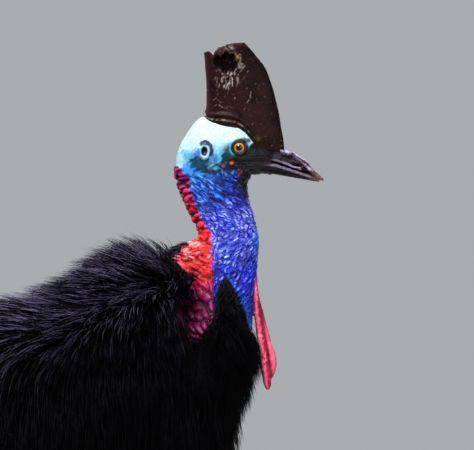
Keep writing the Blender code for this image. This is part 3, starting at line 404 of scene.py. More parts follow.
def signed_power(value, power):
    """A cosine or sine bent to the wanted squareness."""
    return np.sign(value) * np.abs(value) ** (2.0 / power)


def level_rings(table, step, count, nose=0.0, middle=0.0):
    """Level rings of a down-table; nose narrows their front."""
    angle = 2 * math.pi * np.arange(count) / count
    rings = []
    for down, back, front, half in smooth(table, dense(table, step)):
        x = (sx(back) + sx(front)) / 2 + (sx(front) - sx(back)) / 2 * np.cos(angle)
        y = middle + half / 1000 * np.sin(angle) * (1 - nose * np.cos(angle))
        rings.append(np.stack([x, y, np.full(count, sz(down))], 1))
    return rings


def upright_rings(sections, power, count):
    """Upright rings given as x, low, high, half, wide."""
    angle = 2 * math.pi * (np.arange(count) + 0.5) / count
    rings = []
    for x, low, high, half, wide in sections:
        middle = low + wide * (high - low)
        rise = signed_power(np.sin(angle), power)
        z = middle + rise * np.where(rise > 0, high - middle, middle - low)
        y = half * signed_power(np.cos(angle), power)
        rings.append(np.stack([np.full(count, x), y, z], 1))
    return rings


def side_sections(table, step):
    """Upright sections of an across-table of the side drawing."""
    rows = smooth(table, dense(table, step))
    return [(sx(u), sz(bottom), sz(top), half / 1000, wide) for u, top, bottom, half, wide in rows]


def limb_rings(table, side, rows, count):
    """Rings square to a leaning limb."""
    rings = []
    angle = 2 * math.pi * np.arange(count) / count
    for row in rows:
        _, x, z, deep, half = smooth(table, [row])[0]
        before = smooth(table, [max(row - 0.05, table[0][0])])[0]
        after = smooth(table, [min(row + 0.05, table[-1][0])])[0]
        run = Vector((after[1] - before[1], 0.0, after[2] - before[2])).normalized()
        fore = np.array((-run.z, 0.0, run.x))
        centre = np.array((x, side * LEG_Y, z))
        wide = np.array((0.0, 1.0, 0.0))
        rings.append(centre + deep * np.cos(angle)[:, None] * fore + half * np.sin(angle)[:, None] * wide)
    return rings


def plain_mesh(name, verts, faces):
    """Mesh from arrays of corners and faces of one length."""
    verts = np.asarray(verts, np.float32)
    faces = np.asarray(faces, np.int32)
    mesh = bpy.data.meshes.new(name)
    mesh.vertices.add(len(verts))
    mesh.vertices.foreach_set("co", verts.ravel())
    mesh.loops.add(faces.size)
    mesh.loops.foreach_set("vertex_index", faces.ravel())
    mesh.polygons.add(len(faces))
    mesh.polygons.foreach_set("loop_start", np.arange(0, faces.size, faces.shape[1], dtype=np.int32))
    mesh.update(calc_edges=True)
    return mesh


def loft(name, rings):
    """Closed object over rings of equal length, fans on its ends, facing outward."""
    count = len(rings[0])
    verts = np.concatenate(list(rings) + [np.mean(rings[0], 0)[None], np.mean(rings[-1], 0)[None]])
    first, last = len(verts) - 2, len(verts) - 1
    end = (len(rings) - 1) * count
    faces = []
    for i in range(len(rings) - 1):
        for j in range(count):
            k = (j + 1) % count
            faces.append((i * count + j, i * count + k, (i + 1) * count + k))
            faces.append((i * count + j, (i + 1) * count + k, (i + 1) * count + j))
    for j in range(count):
        k = (j + 1) % count
        faces.append((first, k, j))
        faces.append((last, end + j, end + k))
    mesh = plain_mesh(name, verts, faces)
    turn_outward(mesh)
    return bpy.data.objects.new(name, mesh)


def turn_outward(mesh):
    """Faces of a closed mesh turned outward."""
    work = bmesh.new()
    work.from_mesh(mesh)
    bmesh.ops.recalc_face_normals(work, faces=work.faces)
    if work.calc_volume(signed=True) < 0:
        bmesh.ops.reverse_faces(work, faces=work.faces)
    work.to_mesh(mesh)
    work.free()


def ball(name, centre, radii, lean=0.0, around=24, rows=16):
    """Ball with three radii, leaning in the side view."""
    work = bmesh.new()
    bmesh.ops.create_uvsphere(work, u_segments=around, v_segments=rows, radius=1.0)
    turn = Matrix.Rotation(math.radians(lean), 4, "Y")
    place = Matrix.Translation(centre) @ turn @ Matrix.Diagonal((radii[0], radii[1], radii[2], 1.0))
    bmesh.ops.transform(work, matrix=place, verts=work.verts)
    mesh = bpy.data.meshes.new(name)
    work.to_mesh(mesh)
    work.free()
    return bpy.data.objects.new(name, mesh)


def tube(name, points, radii, count=10):
    """Round rod along points with closed rounded ends."""
    points = np.array(points, float)
    radii = np.array(radii, float)
    way = np.gradient(points, axis=0)
    way /= np.linalg.norm(way, axis=1)[:, None]
    rings = []
    side = np.cross(way[0], (0.3, 0.9, 0.2))
    for point, radius, run in zip(points, radii, way):
        side = side - run * side.dot(run)
        side /= np.linalg.norm(side)
        up = np.cross(run, side)
        angle = 2 * math.pi * np.arange(count)[:, None] / count
        rings.append(point + radius * (np.cos(angle) * side + np.sin(angle) * up))
    return loft(name, rings)


def ring_rod(name, centre, reach, thick, stretch=1.0):
    """Round ring standing in the side view."""
    bpy.ops.mesh.primitive_torus_add(
        major_segments=48, minor_segments=14, major_radius=reach, minor_radius=thick)
    made = bpy.context.object
    made.name = name
    turn = Matrix.Rotation(math.radians(90), 4, "X")
    made.data.transform(Matrix.Translation(centre) @ Matrix.Diagonal((1, 1, stretch, 1)) @ turn)
    for holder in list(made.users_collection):
        holder.objects.unlink(made)
    turn_outward(made.data)
    return made


def settled(holder):
    """Mesh of an object after its modifiers."""
    bpy.context.view_layer.update()
    graph = bpy.context.evaluated_depsgraph_get()
    return bpy.data.meshes.new_from_object(holder.evaluated_get(graph))


def remeshed(name, parts, size, soften=6):
    """One closed surface round the joined parts, from small cells, softened."""
    work = bmesh.new()
    for part in parts:
        work.from_mesh(part.data)
        bpy.data.objects.remove(part)
    mesh = bpy.data.meshes.new(name)
    work.to_mesh(mesh)
    work.free()
    made = bpy.data.objects.new(name, mesh)
    bpy.context.scene.collection.objects.link(made)
    cells = made.modifiers.new("cells", "REMESH")
    cells.mode = "VOXEL"
    cells.voxel_size = size
    soft = made.modifiers.new("soften", "SMOOTH")
    soft.factor = 0.5
    soft.iterations = soften
    made.data = settled(made)
    made.modifiers.clear()
    bpy.context.scene.collection.objects.unlink(made)
    return made


def combined(node, other, operation):
    """Boolean of two closed objects, applied; the second is removed."""
    scene = bpy.context.scene.collection
    scene.objects.link(node)
    scene.objects.link(other)
    change = node.modifiers.new("change", "BOOLEAN")
    change.operation = operation
    change.object = other
    change.solver = "MANIFOLD"
    node.data = settled(node)
    node.modifiers.clear()
    scene.objects.unlink(node)
    bpy.data.objects.remove(other)
    return node


def corners(mesh):
    """Corners and their normals as arrays."""
    co = np.empty(len(mesh.vertices) * 3, np.float32)
    mesh.vertices.foreach_get("co", co)
    normal = np.empty(len(mesh.vertices) * 3, np.float32)
    mesh.vertices.foreach_get("normal", normal)
    return co.reshape(-1, 3).astype(float), normal.reshape(-1, 3).astype(float)


def put_corners(mesh, co):
    """Set the corners of a mesh."""
    mesh.vertices.foreach_set("co", co.astype(np.float32).ravel())
    mesh.update()


def corner_colours(mesh, name, colours):
    """Store a colour for each corner."""
    layer = mesh.attributes.new(name, "FLOAT_COLOR", "POINT")
    full = np.ones((len(mesh.vertices), 4), np.float32)
    full[:, :3] = np.clip(colours, 0.0, 1.0)
    layer.data.foreach_set("color", full.ravel())


def corner_vectors(mesh, name, values):
    """Store a vector for each corner."""
    layer = mesh.attributes.new(name, "FLOAT_VECTOR", "POINT")
    layer.data.foreach_set("vector", np.asarray(values, np.float32).ravel())


def corner_values(mesh, name, values):
    """Store a number for each corner."""
    layer = mesh.attributes.new(name, "FLOAT", "POINT")
    layer.data.foreach_set("value", np.asarray(values, np.float32))


def mix(base, colour, share):
    """Blend a colour over an array of colours."""
    share = np.clip(np.asarray(share, float), 0.0, 1.0)[:, None]
    return base * (1 - share) + np.asarray(colour, float) * share


def grain(co, scale, seed=0.0):
    """Smooth noise at points, about -1 to 1."""
    points = co * scale + seed
    return np.array([noise.noise(Vector(point)) for point in points])


def streaked(s, t, seed):
    """Smooth noise on a plane, about -1 to 1."""
    return np.array([noise.noise(Vector((a, b, seed))) for a, b in zip(s.tolist(), t.tolist())])


def lumps(s, t, wide, high, jitter=0.25, seed=1):
    """Staggered rounded cells over a plane: height 0 at their edges to 1, and a number for each."""
    row = np.floor(t / high)
    best = np.full(len(s), 9.0)
    second = np.full(len(s), 9.0)
    label = np.zeros(len(s))
    for dr in (-1, 0, 1):
        r = row + dr
        shift = 0.5 * (r % 2)
        col = np.floor(s / wide - shift)
        for dc in (-1, 0, 1):
            c = col + dc
            key = np.sin(c * 127.1 + r * 311.7 + seed * 17.3) * 43758.5453
            one = key - np.floor(key)
            key = np.sin(c * 269.5 + r * 183.3 + seed * 7.1) * 24634.6345
            two = key - np.floor(key)
            cs = (c + 0.5 + shift + jitter * (one - 0.5)) * wide
            ct = (r + 0.5 + jitter * (two - 0.5)) * high
            away = np.hypot((s - cs) / wide, (t - ct) / high)
            closer = away < best
            second = np.where(closer, best, np.minimum(second, away))
            label = np.where(closer, one, label)
            best = np.where(closer, away, best)
    edge = np.clip((second - best) / 0.55, 0.0, 1.0)
    dome = np.sqrt(np.clip(1 - (best / 0.72) ** 2, 0.0, 1.0))
    return np.sqrt(1 - (1 - edge) ** 2) * (0.35 + 0.65 * dome), label


def near_lines(u, v, lines):
    """Distance in steps from points of the drawing to the nearest of some lines."""
    best = np.full(len(u), 1e3)
    for line in lines:
        for (au, av), (bu, bv) in zip(line[:-1], line[1:]):
            du, dv = bu - au, bv - av
            t = np.clip(((u - au) * du + (v - av) * dv) / (du * du + dv * dv), 0.0, 1.0)
            best = np.minimum(best, np.hypot(u - au - t * du, v - av - t * dv))
    return best


def place(made, name, *nodes, slot):
    """Name and link a finished piece, attach it to the root and hide the imported parts it stands for."""
    made.name = name
    made.data.name = name
    bpy.context.scene.collection.objects.link(made)
    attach(made, "root")
    if nodes:
        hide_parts(*nodes)
    return made


def shade(made, angle=None):
    """Smooth shading, with sharp edges past an angle."""
    made.data.shade_smooth()
    if angle is not None:
        made.data.set_sharp_from_angle(angle=math.radians(angle))


# Materials


class Finish:
    """A material with its shader, and short ways to add nodes."""

    def __init__(self, name, rough, **values):
        self.made = bpy.data.materials.new(name)
        self.made.use_nodes = True
        self.nodes = self.made.node_tree.nodes
        self.wires = self.made.node_tree.links
        self.shader = self.nodes["Principled BSDF"]
        self.shader.inputs["Roughness"].default_value = rough
        for key, value in values.items():
            self.shader.inputs[key.replace("_", " ")].default_value = value

    def add(self, kind, **values):
        """New node with its settings and socket values."""
        node = self.nodes.new(kind)
        for key, value in values.items():
            if hasattr(node, key):
                setattr(node, key, value)
            else:
                node.inputs[key.replace("_", " ")].default_value = value
        return node

    def join(self, start, end):
        """Wire two sockets."""
        self.wires.new(start, end)

    def where(self):
        """Object coordinates."""
        return self.add("ShaderNodeTexCoord").outputs["Object"]

    def noise(self, scale, detail=4.0, rough=0.55, spot=None):
        """Noise on the object, its value."""
        node = self.add("ShaderNodeTexNoise", Scale=scale, Detail=detail, Roughness=rough)
        self.join(spot or self.where(), node.inputs["Vector"])
        return node.outputs["Fac"]

    def cells(self, scale, feature="F1", spot=None):
        """Cells on the object, their distance."""
        node = self.add("ShaderNodeTexVoronoi", Scale=scale)
        node.feature = feature
        self.join(spot or self.where(), node.inputs["Vector"])
        return node.outputs["Distance"]

    def stretched(self, scale):
        """Object coordinates drawn out by a scale along each axis."""
        node = self.add("ShaderNodeMapping", Scale=scale)
        self.join(self.where(), node.inputs["Vector"])
        return node.outputs["Vector"]

    def ramp(self, value, *stops):
        """Colour ramp over a value."""
        node = self.add("ShaderNodeValToRGB")
        bar = node.color_ramp.elements
        while len(bar) < len(stops):
            bar.new(0.5)
        for element, (place_at, colour) in zip(bar, stops):
            element.position = place_at
            element.color = (*colour, 1.0) if isinstance(colour, tuple) else (colour, colour, colour, 1.0)
        self.join(value, node.inputs["Fac"])
        return node.outputs["Color"]

    def blend(self, share, first, second, how="MIX"):
        """Mix of two colours, each a socket or a colour."""
        node = self.nodes.new("ShaderNodeMix")
        node.data_type = "RGBA"
        node.blend_type = how
        for value, end in ((share, node.inputs[0]), (first, node.inputs[6]), (second, node.inputs[7])):
            if isinstance(value, bpy.types.NodeSocket):
                self.join(value, end)
            elif isinstance(value, tuple):
                end.default_value = (*value, 1.0)
            else:
                end.default_value = value
        return node.outputs[2]

    def sum(self, *pairs):
        """Weighted sum of values."""
        total = None
        for value, weight in pairs:
            node = self.add("ShaderNodeMath", operation="MULTIPLY_ADD")
            self.join(value, node.inputs[0])
            node.inputs[1].default_value = weight
            if total is None:
                node.inputs[2].default_value = 0.0
            else:
                self.join(total, node.inputs[2])
            total = node.outputs[0]
        return total

    def attribute(self, name, output="Color"):
        """Stored attribute of the piece."""
        return self.add("ShaderNodeAttribute", attribute_name=name).outputs[output]

    def bump(self, height, strength, depth):
        """Relief from a height value."""
        node = self.add("ShaderNodeBump", Strength=strength, Distance=depth)
        self.join(height, node.inputs["Height"])
        self.join(node.outputs["Normal"], self.shader.inputs["Normal"])

    def colour(self, socket):
        """Wire the base colour."""
        self.join(socket, self.shader.inputs["Base Color"])

    def roughness(self, value, low, high):
        """Roughness between two values by a share."""
        node = self.add("ShaderNodeMapRange")
        self.join(value, node.inputs["Value"])
        node.inputs["To Min"].default_value = low
        node.inputs["To Max"].default_value = high
        self.join(node.outputs["Result"], self.shader.inputs["Roughness"])


# Skin


def neck_ring(down):
    """Middle, half run and half width of the neck in steps, at rows of the drawing."""
    rows = smooth(NECK, np.clip(down, NECK[0][0], NECK[-1][0]))
    return (rows[:, 1] + rows[:, 2]) / 2, (rows[:, 2] - rows[:, 1]) / 2, rows[:, 3] / 1000 / STEP


def round_neck(co):
    """Steps round the neck from its rear middle, its row, and the same run at a column."""
    u, v = drawn(co)
    middle, half, wide = neck_ring(v)
    angle = np.arctan2(np.abs(co[:, 1]) / STEP / wide, (middle - u) / half)
    reach = (half + wide) / 2

    def run_at(across):
        return np.arccos(np.clip((middle - across) / half, -1.0, 1.0)) * reach

    return angle * reach, v, run_at


def head_half(across, down):
    """Half width of the head at places of its side, in metres."""
    rows = smooth(HEAD, [across])[0]
    middle = rows[2] + rows[4] * (rows[1] - rows[2])
    reach = (middle - rows[1]) if down < middle else (rows[2] - middle)
    share = min(abs(down - middle) / reach, 0.999)
    return rows[3] / 1000 * (1 - share ** HEAD_POWER) ** (1 / HEAD_POWER)


def eye_centre(side):
    """Centre of an eyeball."""
    return Vector((sx(EYE_AT[0]), side * EYE_IN, sz(EYE_AT[1])))


def head_sections():
    """Upright sections of the head, its rear cut short above the nape."""
    sections = []
    for x, low, high, half, wide in side_sections(HEAD, 2.0):
        foot = sz(along(HEAD_FOOT, MID_ACROSS + (x - MID_X) / STEP))
        middle = low + wide * (high - low)
        if foot > low:
            wide = (middle - foot) / (high - foot)
            low = foot
        sections.append((x, low, high, half, wide))
    return sections


def neck_lay(co):
    """Steps across and along the wrinkles that run down and forward round the neck, bent a little."""
    run, v, _ = round_neck(co)
    turn = np.radians(np.interp(v, (165.0, 205.0, 235.0, 262.0, 300.0), (44.0, 38.0, 30.0, 22.0, 10.0)))
    warp = 2.6 * grain(co, 85.0, 4.0) + 1.1 * grain(co, 210.0, 5.0)
    bend = 2.6 * grain(co, 85.0, 8.0) + 1.1 * grain(co, 210.0, 9.0)
    lean = run * np.cos(turn) - (v - 215.0) * np.sin(turn) + warp
    fall = run * np.sin(turn) + (v - 215.0) * np.cos(turn) + bend
    return lean, fall


def neck_relief(co):
    """Wrinkles of the blue skin, long ones high up and pebbles below: 0 in a crease to 1."""
    lean, fall = neck_lay(co)
    _, v = drawn(co)
    long_ones, _ = lumps(lean, fall, 4.4, 15.0, 1.1, 11)
    short_ones, _ = lumps(lean, fall, 4.3, 4.6, 1.1, 12)
    broad, _ = lumps(lean, fall, 11.0, 24.0, 1.0, 13)
    upper = step_up(246.0, 205.0, v)
    return 0.70 * (upper * long_ones + (1 - upper) * short_ones) + 0.30 * broad


def fan_lay(co):
    """Steps along and across the folds that fan out from the loose shoulder of skin, bent a little."""
    u, v = drawn(co)
    reach = np.hypot(u - 156.0, v - 252.0) + 2.4 * grain(co, 90.0, 6.0)
    turn = 44.0 * np.arctan2(v - 252.0, u - 156.0) + 3.0 * grain(co, 75.0, 5.0) + 1.0 * grain(co, 190.0, 3.0)
    return reach, turn


def fan_folds(co):
    """Long folds of the loose skin behind the neck: 0 between them to 1."""
    reach, turn = fan_lay(co)
    return lumps(reach, turn, 19.0, 4.1, 0.9, 3)[0]


def skin_tooth(co):
    """How deeply the fine creases mark the skin, in relief and with their painted shade and glints: 0 where smooth to 1
    on the neck.
    """
    u, v = drawn(co)
    run, _, run_at = round_neck(co)
    neck = step_up(168.0, 184.0, v + 0.30 * (u - 200.0))
    out = 0.10 + 0.90 * neck
    cheek = hill(np.hypot((u - 216) / 1.5, v - 168), 15.0)
    out = np.maximum(out, 0.75 * cheek)
    red = step_up(2.0, -2.0, run - run_at(along(RED_EDGE, v))) * step_up(163.0, 167.0, v)
    out = out * (1 - red * (0.95 - 0.62 * hill(v - 254.0, 20.0)))
    wattle = (np.abs(np.abs(co[:, 1]) - WATTLE_OUT) < 0.0125) * step_up(253.0, 255.0, u) * step_up(272.0, 284.0, v)
    out = out * (1 - 0.88 * wattle)
    bound = np.interp(v, (136, 151, 163, 178, 200), (262, 246, 229, 240, 243))
    out = out * (1 - step_up(-2.0, 2.0, u - bound) * step_up(208.0, 186.0, v))
    return out * step_up(268.0, 262.0, u) * (1 - is_covered(co))


def front_forms():
    """Closed solids of the head, neck and wattles before they are made one skin."""
    parts = [
        loft("head", upright_rings(head_sections(), HEAD_POWER, 72)),
        loft("neck", level_rings(NECK, 2.0, 96)),
        loft("near", level_rings(NEAR_WATTLE, 2.0, 40, 0.0, -WATTLE_OUT)),
        loft("far", level_rings(FAR_WATTLE, 2.0, 40, 0.0, WATTLE_OUT)),
        loft("flare", level_rings(FLARE, 1.5, 72)),
        ball("throat", (sx(243.0), 0.0, sz(176.0)), (0.0100, 0.0180, 0.0100), 0.0),
    ]
    for side in (-1, 1):
        eye = eye_centre(side)
        plane = side * (head_half(*EYE_AT) + 0.0006)
        parts.append(ring_rod("lid", (eye[0], plane, eye[2]), 0.0098, 0.0023, 0.92))
        brow = [(229.5, 145.5), (232.0, 141.0), (236.5, 138.6), (241.5, 138.9), (246.5, 142.0), (249.5, 146.0)]
        points = [(sx(u), side * (head_half(u, v) - 0.0004), sz(v)) for u, v in brow]
        parts.append(tube("brow", points, [0.0008, 0.0020, 0.0026, 0.0026, 0.0022, 0.0008]))
        ear = (sx(EAR_AT[0]), side * (head_half(*EAR_AT) + 0.0002), sz(EAR_AT[1]))
        parts.append(ring_rod("ear", ear, 0.0052, 0.0019, 1.45))
        fold = [(200.0, 141.5), (203.5, 139.6), (208.5, 140.4), (212.3, 143.6), (214.2, 149.0), (213.6, 155.0)]
        points = [(sx(u), side * (head_half(u, v) - 0.0002), sz(v)) for u, v in fold]
        parts.append(tube("ear_fold", points, [0.0010, 0.0022, 0.0026, 0.0026, 0.0022, 0.0010]))
        jaw = [(229.0, 163.5), (236.0, 165.6), (246.0, 166.4), (256.0, 166.2), (266.0, 166.6)]
        points = [(sx(u), side * (head_half(u, v) - 0.0006), sz(v)) for u, v in jaw]
        parts.append(tube("jaw", points, [0.0014, 0.0026, 0.0028, 0.0026, 0.0020]))
        lip = [(231.0, 158.0), (240.0, 158.3), (250.0, 157.9), (260.0, 157.4), (268.0, 157.6)]
        points = [(sx(u), side * (head_half(u, v) - 0.0006), sz(v)) for u, v in lip]
        parts.append(tube("lip", points, [0.0010, 0.0022, 0.0026, 0.0024, 0.0018]))
    return parts


def body_forms():
    """Closed solids of the flesh under the coat."""
    sections = []
    for x, low, high, half in smooth(TORSO, np.linspace(-0.455, 0.372, 26)):
        deep = FLESH_DEEP + 0.020 * float(step_up(0.25, 0.32, x))
        sections.append((x, low + deep, high - deep, max(half - deep, 0.008), TORSO_WIDE))
    parts = [
        loft("body", upright_rings(sections, 2.0, 48)),
        ball("shoulders", (0.276, 0.0, 1.056), (0.058, 0.078, 0.062)),
        ball("back", (0.222, 0.0, 1.026), (0.108, 0.100, 0.062)),
    ]
    for side, _ in RIGHT_LEFT:
        slim = [(n, x, z, deep_ - 0.010, half - 0.010) for n, x, z, deep_, half in THIGH]
        parts.append(loft("thigh", limb_rings(slim, side, np.linspace(0, 6, 25), 28)))
    return parts


def carve_front(mesh):
    """Folds, lobes, wrinkles and creases of the head, neck and wattles."""
    co, normal = corners(mesh)
    u, v = drawn(co)
    lift = np.zeros(len(co))
    run, _, run_at = round_neck(co)
    on_wattle = (step_up(250.0, 253.5, u - 0.0 * v) * step_up(268.0, 276.0, v)
                 * (np.abs(np.abs(co[:, 1]) - WATTLE_OUT) < 0.014))
    neck = step_up(166.0, 178.0, v) * (1 - on_wattle)
    edge = run_at(along(RED_EDGE, v))
    wave = 2.6 * grain(co, 95.0, 3.0)
    red = step_up(3.0, -2.0, run - edge + wave) * step_up(163.0, 168.0, v) * (1 - on_wattle)
    # transverse ridges high on the nape, big loose folds at the flare, rounded lobes below
    ridge, _ = lumps(run + 1.2 * grain(co, 150.0, 2.0), v + 0.25 * run + 2.0 * grain(co, 120.0), 15.0, 4.4, 0.9, 2)
    folds = fan_folds(co)
    lobes, _ = lumps(run, v - 0.42 * run + 1.6 * grain(co, 60.0, 9.0), 16.0, 8.8, 0.75, 4)
    high = step_up(244.0, 226.0, v)
    low = step_up(276.0, 288.0, v)
    mid = (1 - high) * (1 - low)
    lift += red * (high * 0.0044 * ridge + mid * 0.0062 * folds + low * 0.0072 * lobes - 0.0014)
    blue = neck * (1 - red)
    lift += blue * 0.0046 * (neck_relief(co) - 0.55)
    # long cords of skin down the front of the neck
    cords = np.sin(run * 1.05 + 1.6 * grain(co, 40.0, 2.0)) * step_up(250.0, 275.0, v) * (1 - on_wattle)
    lift += blue * 0.0010 * cords
    # cheeks: soft wrinkles under the eye and behind the mouth
    head = step_up(182.0, 170.0, v)
    near_jaw = hill(np.hypot((u - 238) / 1.0, (v - 171) / 0.75), 12.0)
    lift += head * near_jaw * 0.0016 * np.sin(u * 1.7 + v * 1.1 + 2.0 * grain(co, 160.0))
    low_cheek = step_up(156.0, 170.0, v) * step_up(194.0, 205.0, u)
    lift += head * low_cheek * 0.0016 * (neck_relief(co) - 0.5)
    lift += head * 0.00040 * grain(co, 420.0, 6.0)
    # ear cup and the line of the mouth
    ear = np.hypot((u - EAR_AT[0]) / 3.0, (v - EAR_AT[1]) / 4.6)
    lift -= head * 0.0065 * step_up(1.15, 0.35, ear)
    mouth = near_lines(u, v, [((228.5, 161.0), (240, 162.3), (250, 161.9), (262, 161.6), (270, 161.8))])
    lift -= head * 0.0022 * hill(mouth, 2.0) * (np.abs(co[:, 1]) > 0.004)
    # wattles: fine grains and soft lumps drawn out up and down
    lift += on_wattle * (0.0006 * grain(co, 520.0) + 0.0009 * grain(co * (1, 1, 0.35), 210.0, 1.0))
    co += normal * lift[:, None]
    put_corners(mesh, co)
    return co


def skin_colours(co, hues):
    """Colour of each corner of the skin by where it lies."""
    u, v = drawn(co)
    soft = grain(co, 70.0, 1.0)
    fine = grain(co, 260.0, 2.0)
    run, _, run_at = round_neck(co)
    out = np.tile(np.array(hues.neck_blue), (len(co), 1))
    # neck: violet and dark patches, azure, painted highlights on the wrinkle tops and painted shade in their creases
    relief = neck_relief(co)
    out = mix(out, hues.neck_violet, 0.70 * step_up(234.0, 250.0, u + 3 * soft) * step_up(275.0, 200.0, v))
    rear = step_up(232.0, 192.0, v + 0.9 * (u - 206))
    # the rear's azure is the skin's own colour, laid on the wrinkle tops as painted highlight; paler blue on the tops
    # lower down is painted highlight, and dark blue in the creases is painted shade
    out = mix(out, hues.neck_azure, 0.95 * step_up(0.12, 0.55, relief + 0.25 * soft) * rear)
    out = mix(out, hues.neck_wrinkle_highlight, 0.90 * step_up(0.46, 0.80, relief + 0.20 * fine) * step_up(196.0, 212.0, v)
              * step_up(272.0, 256.0, v) * (1 - 0.5 * rear))
    out = mix(out, hues.neck_navy_and_crease_shade, (0.90 - 0.30 * rear) * step_up(0.44, 0.12, relief + 0.10 * fine))
    # darker blue in the creases under the jaw: painted shade
    under_jaw = step_up(208.0, 222.0, u + 3 * soft) * step_up(208.0, 192.0, v)
    out = mix(out, hues.neck_navy_and_crease_shade, 0.72 * under_jaw * step_up(0.85, 0.55, relief + 0.3 * fine))
    lean, fall = neck_lay(co)
    streak = streaked(lean * 0.26, fall * 0.045, 3.0)
    out = mix(out, hues.neck_navy_and_crease_shade, 0.85 * step_up(0.02, 0.42, streak + 0.2 * fine) * step_up(232.0, 205.0, v))
    out = mix(out, hues.neck_navy_and_crease_shade, 0.40 * step_up(0.15, 0.6, soft + 0.3 * fine))
    out = mix(out, hues.neck_navy_and_crease_shade, 0.66 * step_up(256.0, 276.0, v + 3 * soft) * step_up(246.0, 236.0, u))
    dark_throat = step_up(229.0, 243.0, u + 3 * soft + 2 * fine) * step_up(216.0, 184.0, v)
    out = mix(out, hues.throat_dark, 0.85 * dark_throat)
    low_front = step_up(245.0, 253.0, u) * step_up(262.0, 290.0, v)
    out = mix(out, hues.neck_navy_and_crease_shade, 0.55 * low_front)
    bright = step_up(250.0, 256.5, u + 2 * soft) * hill(v - 244.0, 30.0)
    out = mix(out, hues.neck_azure, 0.65 * bright)
    rim = hill(u - along(TONGUE_EDGE, v) - 2.4, 3.2) * step_up(268.0, 284.0, v)
    out = mix(out, hues.neck_azure, 0.75 * rim)
    # head: pale crown, turquoise cheeks, teal round the eye, dark lore
    head = step_up(190.0, 172.0, v + 0.30 * (u - 200.0) + 4 * soft)
    patchy = streaked(u * 0.20 + v * 0.10, v * 0.16 - u * 0.05, 7.0) + 0.5 * fine
    cheek = np.array(hues.cheek)
    base = mix(np.tile(cheek, (len(co), 1)), hues.neck_azure, 0.8 * step_up(160.0, 172.0, v + 4 * fine))
    pale = step_up(158.0, 143.0, v + 0.10 * (u - 200.0) + 6 * soft + 4.5 * fine)
    pale = np.maximum(pale, 0.8 * step_up(11.0, 4.0, np.hypot(u - 177, (v - 159) * 0.70) + 3 * soft + 2 * fine))
    base = mix(base, hues.crown, pale)
    base = mix(base, hues.cheek, 0.60 * step_up(0.05, 0.55, patchy) * step_up(138.0, 158.0, v + 0.3 * (210 - u)))
    base = mix(base, hues.cheek_deep, 0.85 * step_up(0.05, 0.45, -patchy) * step_up(150.0, 160.0, v)
               * step_up(182.0, 194.0, u))
    base = mix(base, hues.cheek, 0.70 * hill(np.hypot(u - 222, v - 151), 11.0) * step_up(-0.5, 0.2, fine))
    base = mix(base, hues.ear_blue, 0.85 * step_up(8.5, 3.0, np.hypot((u - 197.5) / 0.9, v - 155) + 2.5 * patchy))
    base = mix(base, hues.ear_blue, 0.55 * step_up(9.0, 4.0, np.hypot(u - 213, (v - 159)) + 2.5 * patchy))
    patch = np.hypot((u - 204) / 1.9, v - 166 - 0.30 * (u - 204)) + 2.5 * fine
    base = mix(base, hues.cheek_deep, 0.97 * step_up(9.8, 6.0, patch + 2 * patchy))
    light = np.hypot((u - 216) / 1.5, v - 167.5 - 0.35 * (u - 216)) - 2.5 * patchy
    base = mix(base, hues.cheek_light, 0.80 * step_up(4.2, 2.0, light + 1.2 * fine))
    base = mix(base, hues.navy, 0.98 * step_up(10.5, 7.0, np.hypot(u - 227, (v - 166) / 1.3) + 3.0 * patchy))
    base = mix(base, hues.eye_teal_and_brow_shadow, 0.95 * step_up(13.0, 6.0, np.hypot(u - 232, v - 153) + 2.5 * fine))
    # dark teal under the brow: painted shadow
    base = mix(base, hues.eye_teal_and_brow_shadow, 0.90 * step_up(4.2, 1.6, np.hypot((u - 244) / 2.4, v - 140.5) + 1.2 * fine))
    base = mix(base, hues.cheek, 0.45 * hill(np.hypot(u - 205, v - 152), 13.0) * step_up(-0.3, 0.4, fine))
    out = mix(out, base, head)
    bound = np.interp(v, (136, 141, 146, 151, 155, 159, 163, 168, 173, 178, 200),
                      (262, 255, 248.5, 245, 238, 230, 228, 231, 237, 240, 243)) + 1.2 * soft + 0.8 * fine
    lore = step_up(-1.2, 1.6, u - bound) * step_up(208.0, 186.0, v + 2 * fine)
    out = mix(out, hues.lore, lore)
    jaw = hill(np.hypot((u - 238.5) / 1.1, (v - 172) / 0.8), 6.5)
    out = mix(out, hues.jaw_pink, 0.60 * jaw * step_up(-0.3, 0.3, fine))
    gape = hill(np.hypot(u - 231.5, v - 162.6), 2.4)
    out = mix(out, hues.gape, gape)
    # lids and the ear, with painted shade in the ear hole and a painted shadow along its fold
    eye = np.hypot(u - EYE_AT[0], (v - EYE_AT[1]) / 0.92)
    out = mix(out, hues.lid_dark, 0.97 * step_up(10.2, 8.6, eye + 0.5 * fine))
    crescent = hill(eye - 9.2, 1.3) * step_up(235.0, 232.5, u)
    out = mix(out, hues.cheek_light, 0.6 * crescent)
    ear = np.hypot((u - EAR_AT[0]) / 1.0, (v - EAR_AT[1]) / 1.45)
    out = mix(out, hues.ear_dark_and_shade, 0.55 * hill(ear - 5.6, 2.6) * step_up(-0.4, 0.5, fine))
    out = mix(out, hues.ear_light, 0.95 * hill(ear - 4.3, 2.0) * step_up(212.5, 210.0, u)
              * (0.25 + 0.75 * step_up(-4.0, 1.0, (u - EAR_AT[0]) + 0.6 * (v - EAR_AT[1]))))
    # near-black ear hole: painted shade; dark band along the fold above and behind it: painted shadow
    out = mix(out, hues.ear_dark_and_shade, step_up(3.5, 2.8, ear))
    fold = near_lines(u, v, [((201.5, 143.4), (204.5, 142.0), (208, 142.6), (210.8, 145.4), (212, 150), (211.2, 154.5))])
    thick = 2.1 + 1.1 * hill(u - 206.0, 5.0) * (v < 147)
    out = mix(out, hues.ear_dark_and_shade, 0.92 * step_up(thick + 0.4, thick - 0.9, fold + 0.8 * fine))
